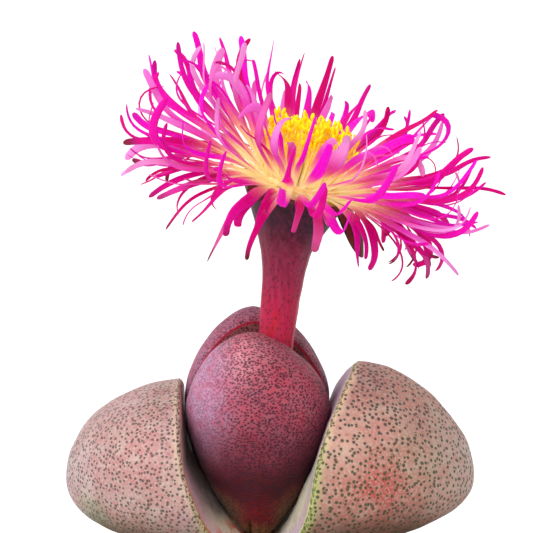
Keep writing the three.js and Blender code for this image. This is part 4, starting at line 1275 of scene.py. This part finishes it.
# Stones of several kinds, scattered over the bed and turned at random
def gritGrowth():
    growth = Growth("stonesOnTheBed")
    spacing, radius = growth.input("Spacing"), growth.input("Stone Radius")
    smallest, largest = growth.input("Smallest"), growth.input("Largest")
    seed, skin = growth.input("Seed", "Int"), growth.input("Skin", "Material")
    bed, place, kinds = growth.entry.outputs["Geometry"], growth.shape("InputPosition"), []
    points = growth.shape("DistributePointsOnFaces", Mesh=bed, Selection=growth.isSet("top"),
                          Distance_Min=spacing, Density_Max=1e6, Seed=seed, distribute_method="POISSON")
    for kind in range(grit["kinds"]):
        ball = growth.shape("MeshIcoSphere", Radius=radius, Subdivisions=3 if kind % 2 else 2)
        shifted = growth.vectors("ADD", place, (kind * 0.01, kind * 0.02, 0.0))
        rough = growth.node("ShaderNodeTexNoise", output="Color", Vector=shifted, Scale=grit["stoneNoise"],
                            Detail=1.0)
        push = growth.vectors("SUBTRACT", rough, (0.5, 0.5, 0.5))
        push = growth.vectors("SCALE", push, Scale=grit["push"] * grit["radius"] * mm)
        ball = growth.shape("SetPosition", Geometry=ball, Offset=push)
        flat = growth.shape("Transform", Geometry=ball, Scale=(1.0 + 0.08 * kind, 1.0, 0.78))
        kinds.append(growth.shape("GeometryToInstance", Geometry=flat))
    tilt = growth.turns(grit["tilt"], seed)
    size = growth.random(smallest, largest, growth.plus(seed, 1.0))
    pick = growth.random(0, grit["kinds"] - 1, seed, "INT")
    stones = growth.shape("InstanceOnPoints", Points=points, Instance=growth.join(*kinds), Pick_Instance=True,
                          Instance_Index=pick, Rotation=tilt, Scale=size)
    tone = growth.random(0.0, 1.0, growth.plus(seed, 2.0))
    stones = growth.shape("StoreNamedAttribute", Geometry=stones, Name="tone", Value=tone, data_type="FLOAT",
                          domain="INSTANCE")
    stones = growth.shape("RealizeInstances", Geometry=stones)
    return growth.finish(growth.join(bed, stones), skin)


def gritSkin():
    skin = Skin("grit_skin")
    tone, speck = skin.attribute("tone"), skin.grain(0.6, detail=4.0, roughness=0.65)
    tint = skin.over((120, 104, 88), (skin.band(tone, 0.0, 0.35), (172, 150, 122)),
                     (skin.band(tone, 0.45, 0.6), (196, 180, 156)),
                     (skin.band(tone, 0.72, 0.78), (150, 110, 86)),
                     (skin.band(tone, 0.88, 0.92), (222, 214, 200)),
                     (skin.rescale(speck, 0.45, 0.7, 0, 0.6), (104, 88, 74)))
    return skin.finish(Base_Color=tint, Roughness=0.88, Normal=skin.bump(speck, 0.2))


def makeGrit():
    edge = innerRadiusAt(grit["wallHeight"]) - grit["gap"]
    low = grit["soilTop"] + grit["gap"]
    reach = np.linspace(edge, grit["innerRadius"], grit["rings"])
    fall = smoothStep(grit["heapRadius"], edge, reach)
    level = lerp(grit["heapHeight"], grit["wallHeight"], fall) - grit["radius"] * 0.5
    reach = np.concatenate([[0.5, innerRadiusAt(low) - grit["gap"]], reach, [0.5]])
    level = np.concatenate([[low, low], level, level[-1:]])
    rings = turned(reach[:, None], level[:, None], grit["sides"])
    top = np.zeros(rings.shape[:2])
    top[3:-1] = 1
    mesh = skinOver("grit_bed", rings, {"top": top, "tone": 0 * top})
    roughen(mesh, grit["bedLump"],
            lambda points, rough: rough * grit["bedUnevenness"] * (points[:, 2] > grit["wallHeight"] - 2))
    carrier = newObject("grit_stones", mesh)
    gritGrowth().grow(carrier, Spacing=grit["spacing"] * mm, Stone_Radius=grit["radius"] * mm,
                      Smallest=grit["smallest"], Largest=grit["largest"], Seed=grit["seed"], Skin=gritSkin())
    finishPiece(carrier, "grit", "grit")


# The frame's own soil stays and gets a material
def dressSoil():
    skin = Skin("soil_skin")
    crumb = skin.grain(1.8, detail=5.0, roughness=0.7)
    tint = skin.over((52, 38, 28), (skin.band(crumb, 0.35, 0.65), (84, 66, 50)),
                     (skin.dots(3.5, 0.9), (170, 160, 144)))
    skin.finish(Base_Color=tint, Roughness=0.95, Normal=skin.bump(crumb, 1.0))
    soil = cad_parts["soil"]
    soil.data.materials.clear()
    soil.data.materials.append(skin.material)


makePot()
makeGrit()
dressSoil()

print("floor")
floor = {"size": 30000}


def makeFloor():
    half = floor["size"] / 2
    corners = [(-half, -half, 0), (half, -half, 0), (half, half, 0), (-half, half, 0)]
    mesh = newMesh("floor", corners, faces=[(0, 1, 2, 3)])
    skin = Skin("floor_skin")
    cloud = skin.rescale(skin.grain(60, detail=3.0), 0.3, 0.7, 0, 1)
    tint = skin.mix(cloud, (246, 246, 245), (249, 249, 248))
    mesh.materials.append(skin.finish(Base_Color=tint, Roughness=0.8))
    newObject("floor", mesh)


makeFloor()
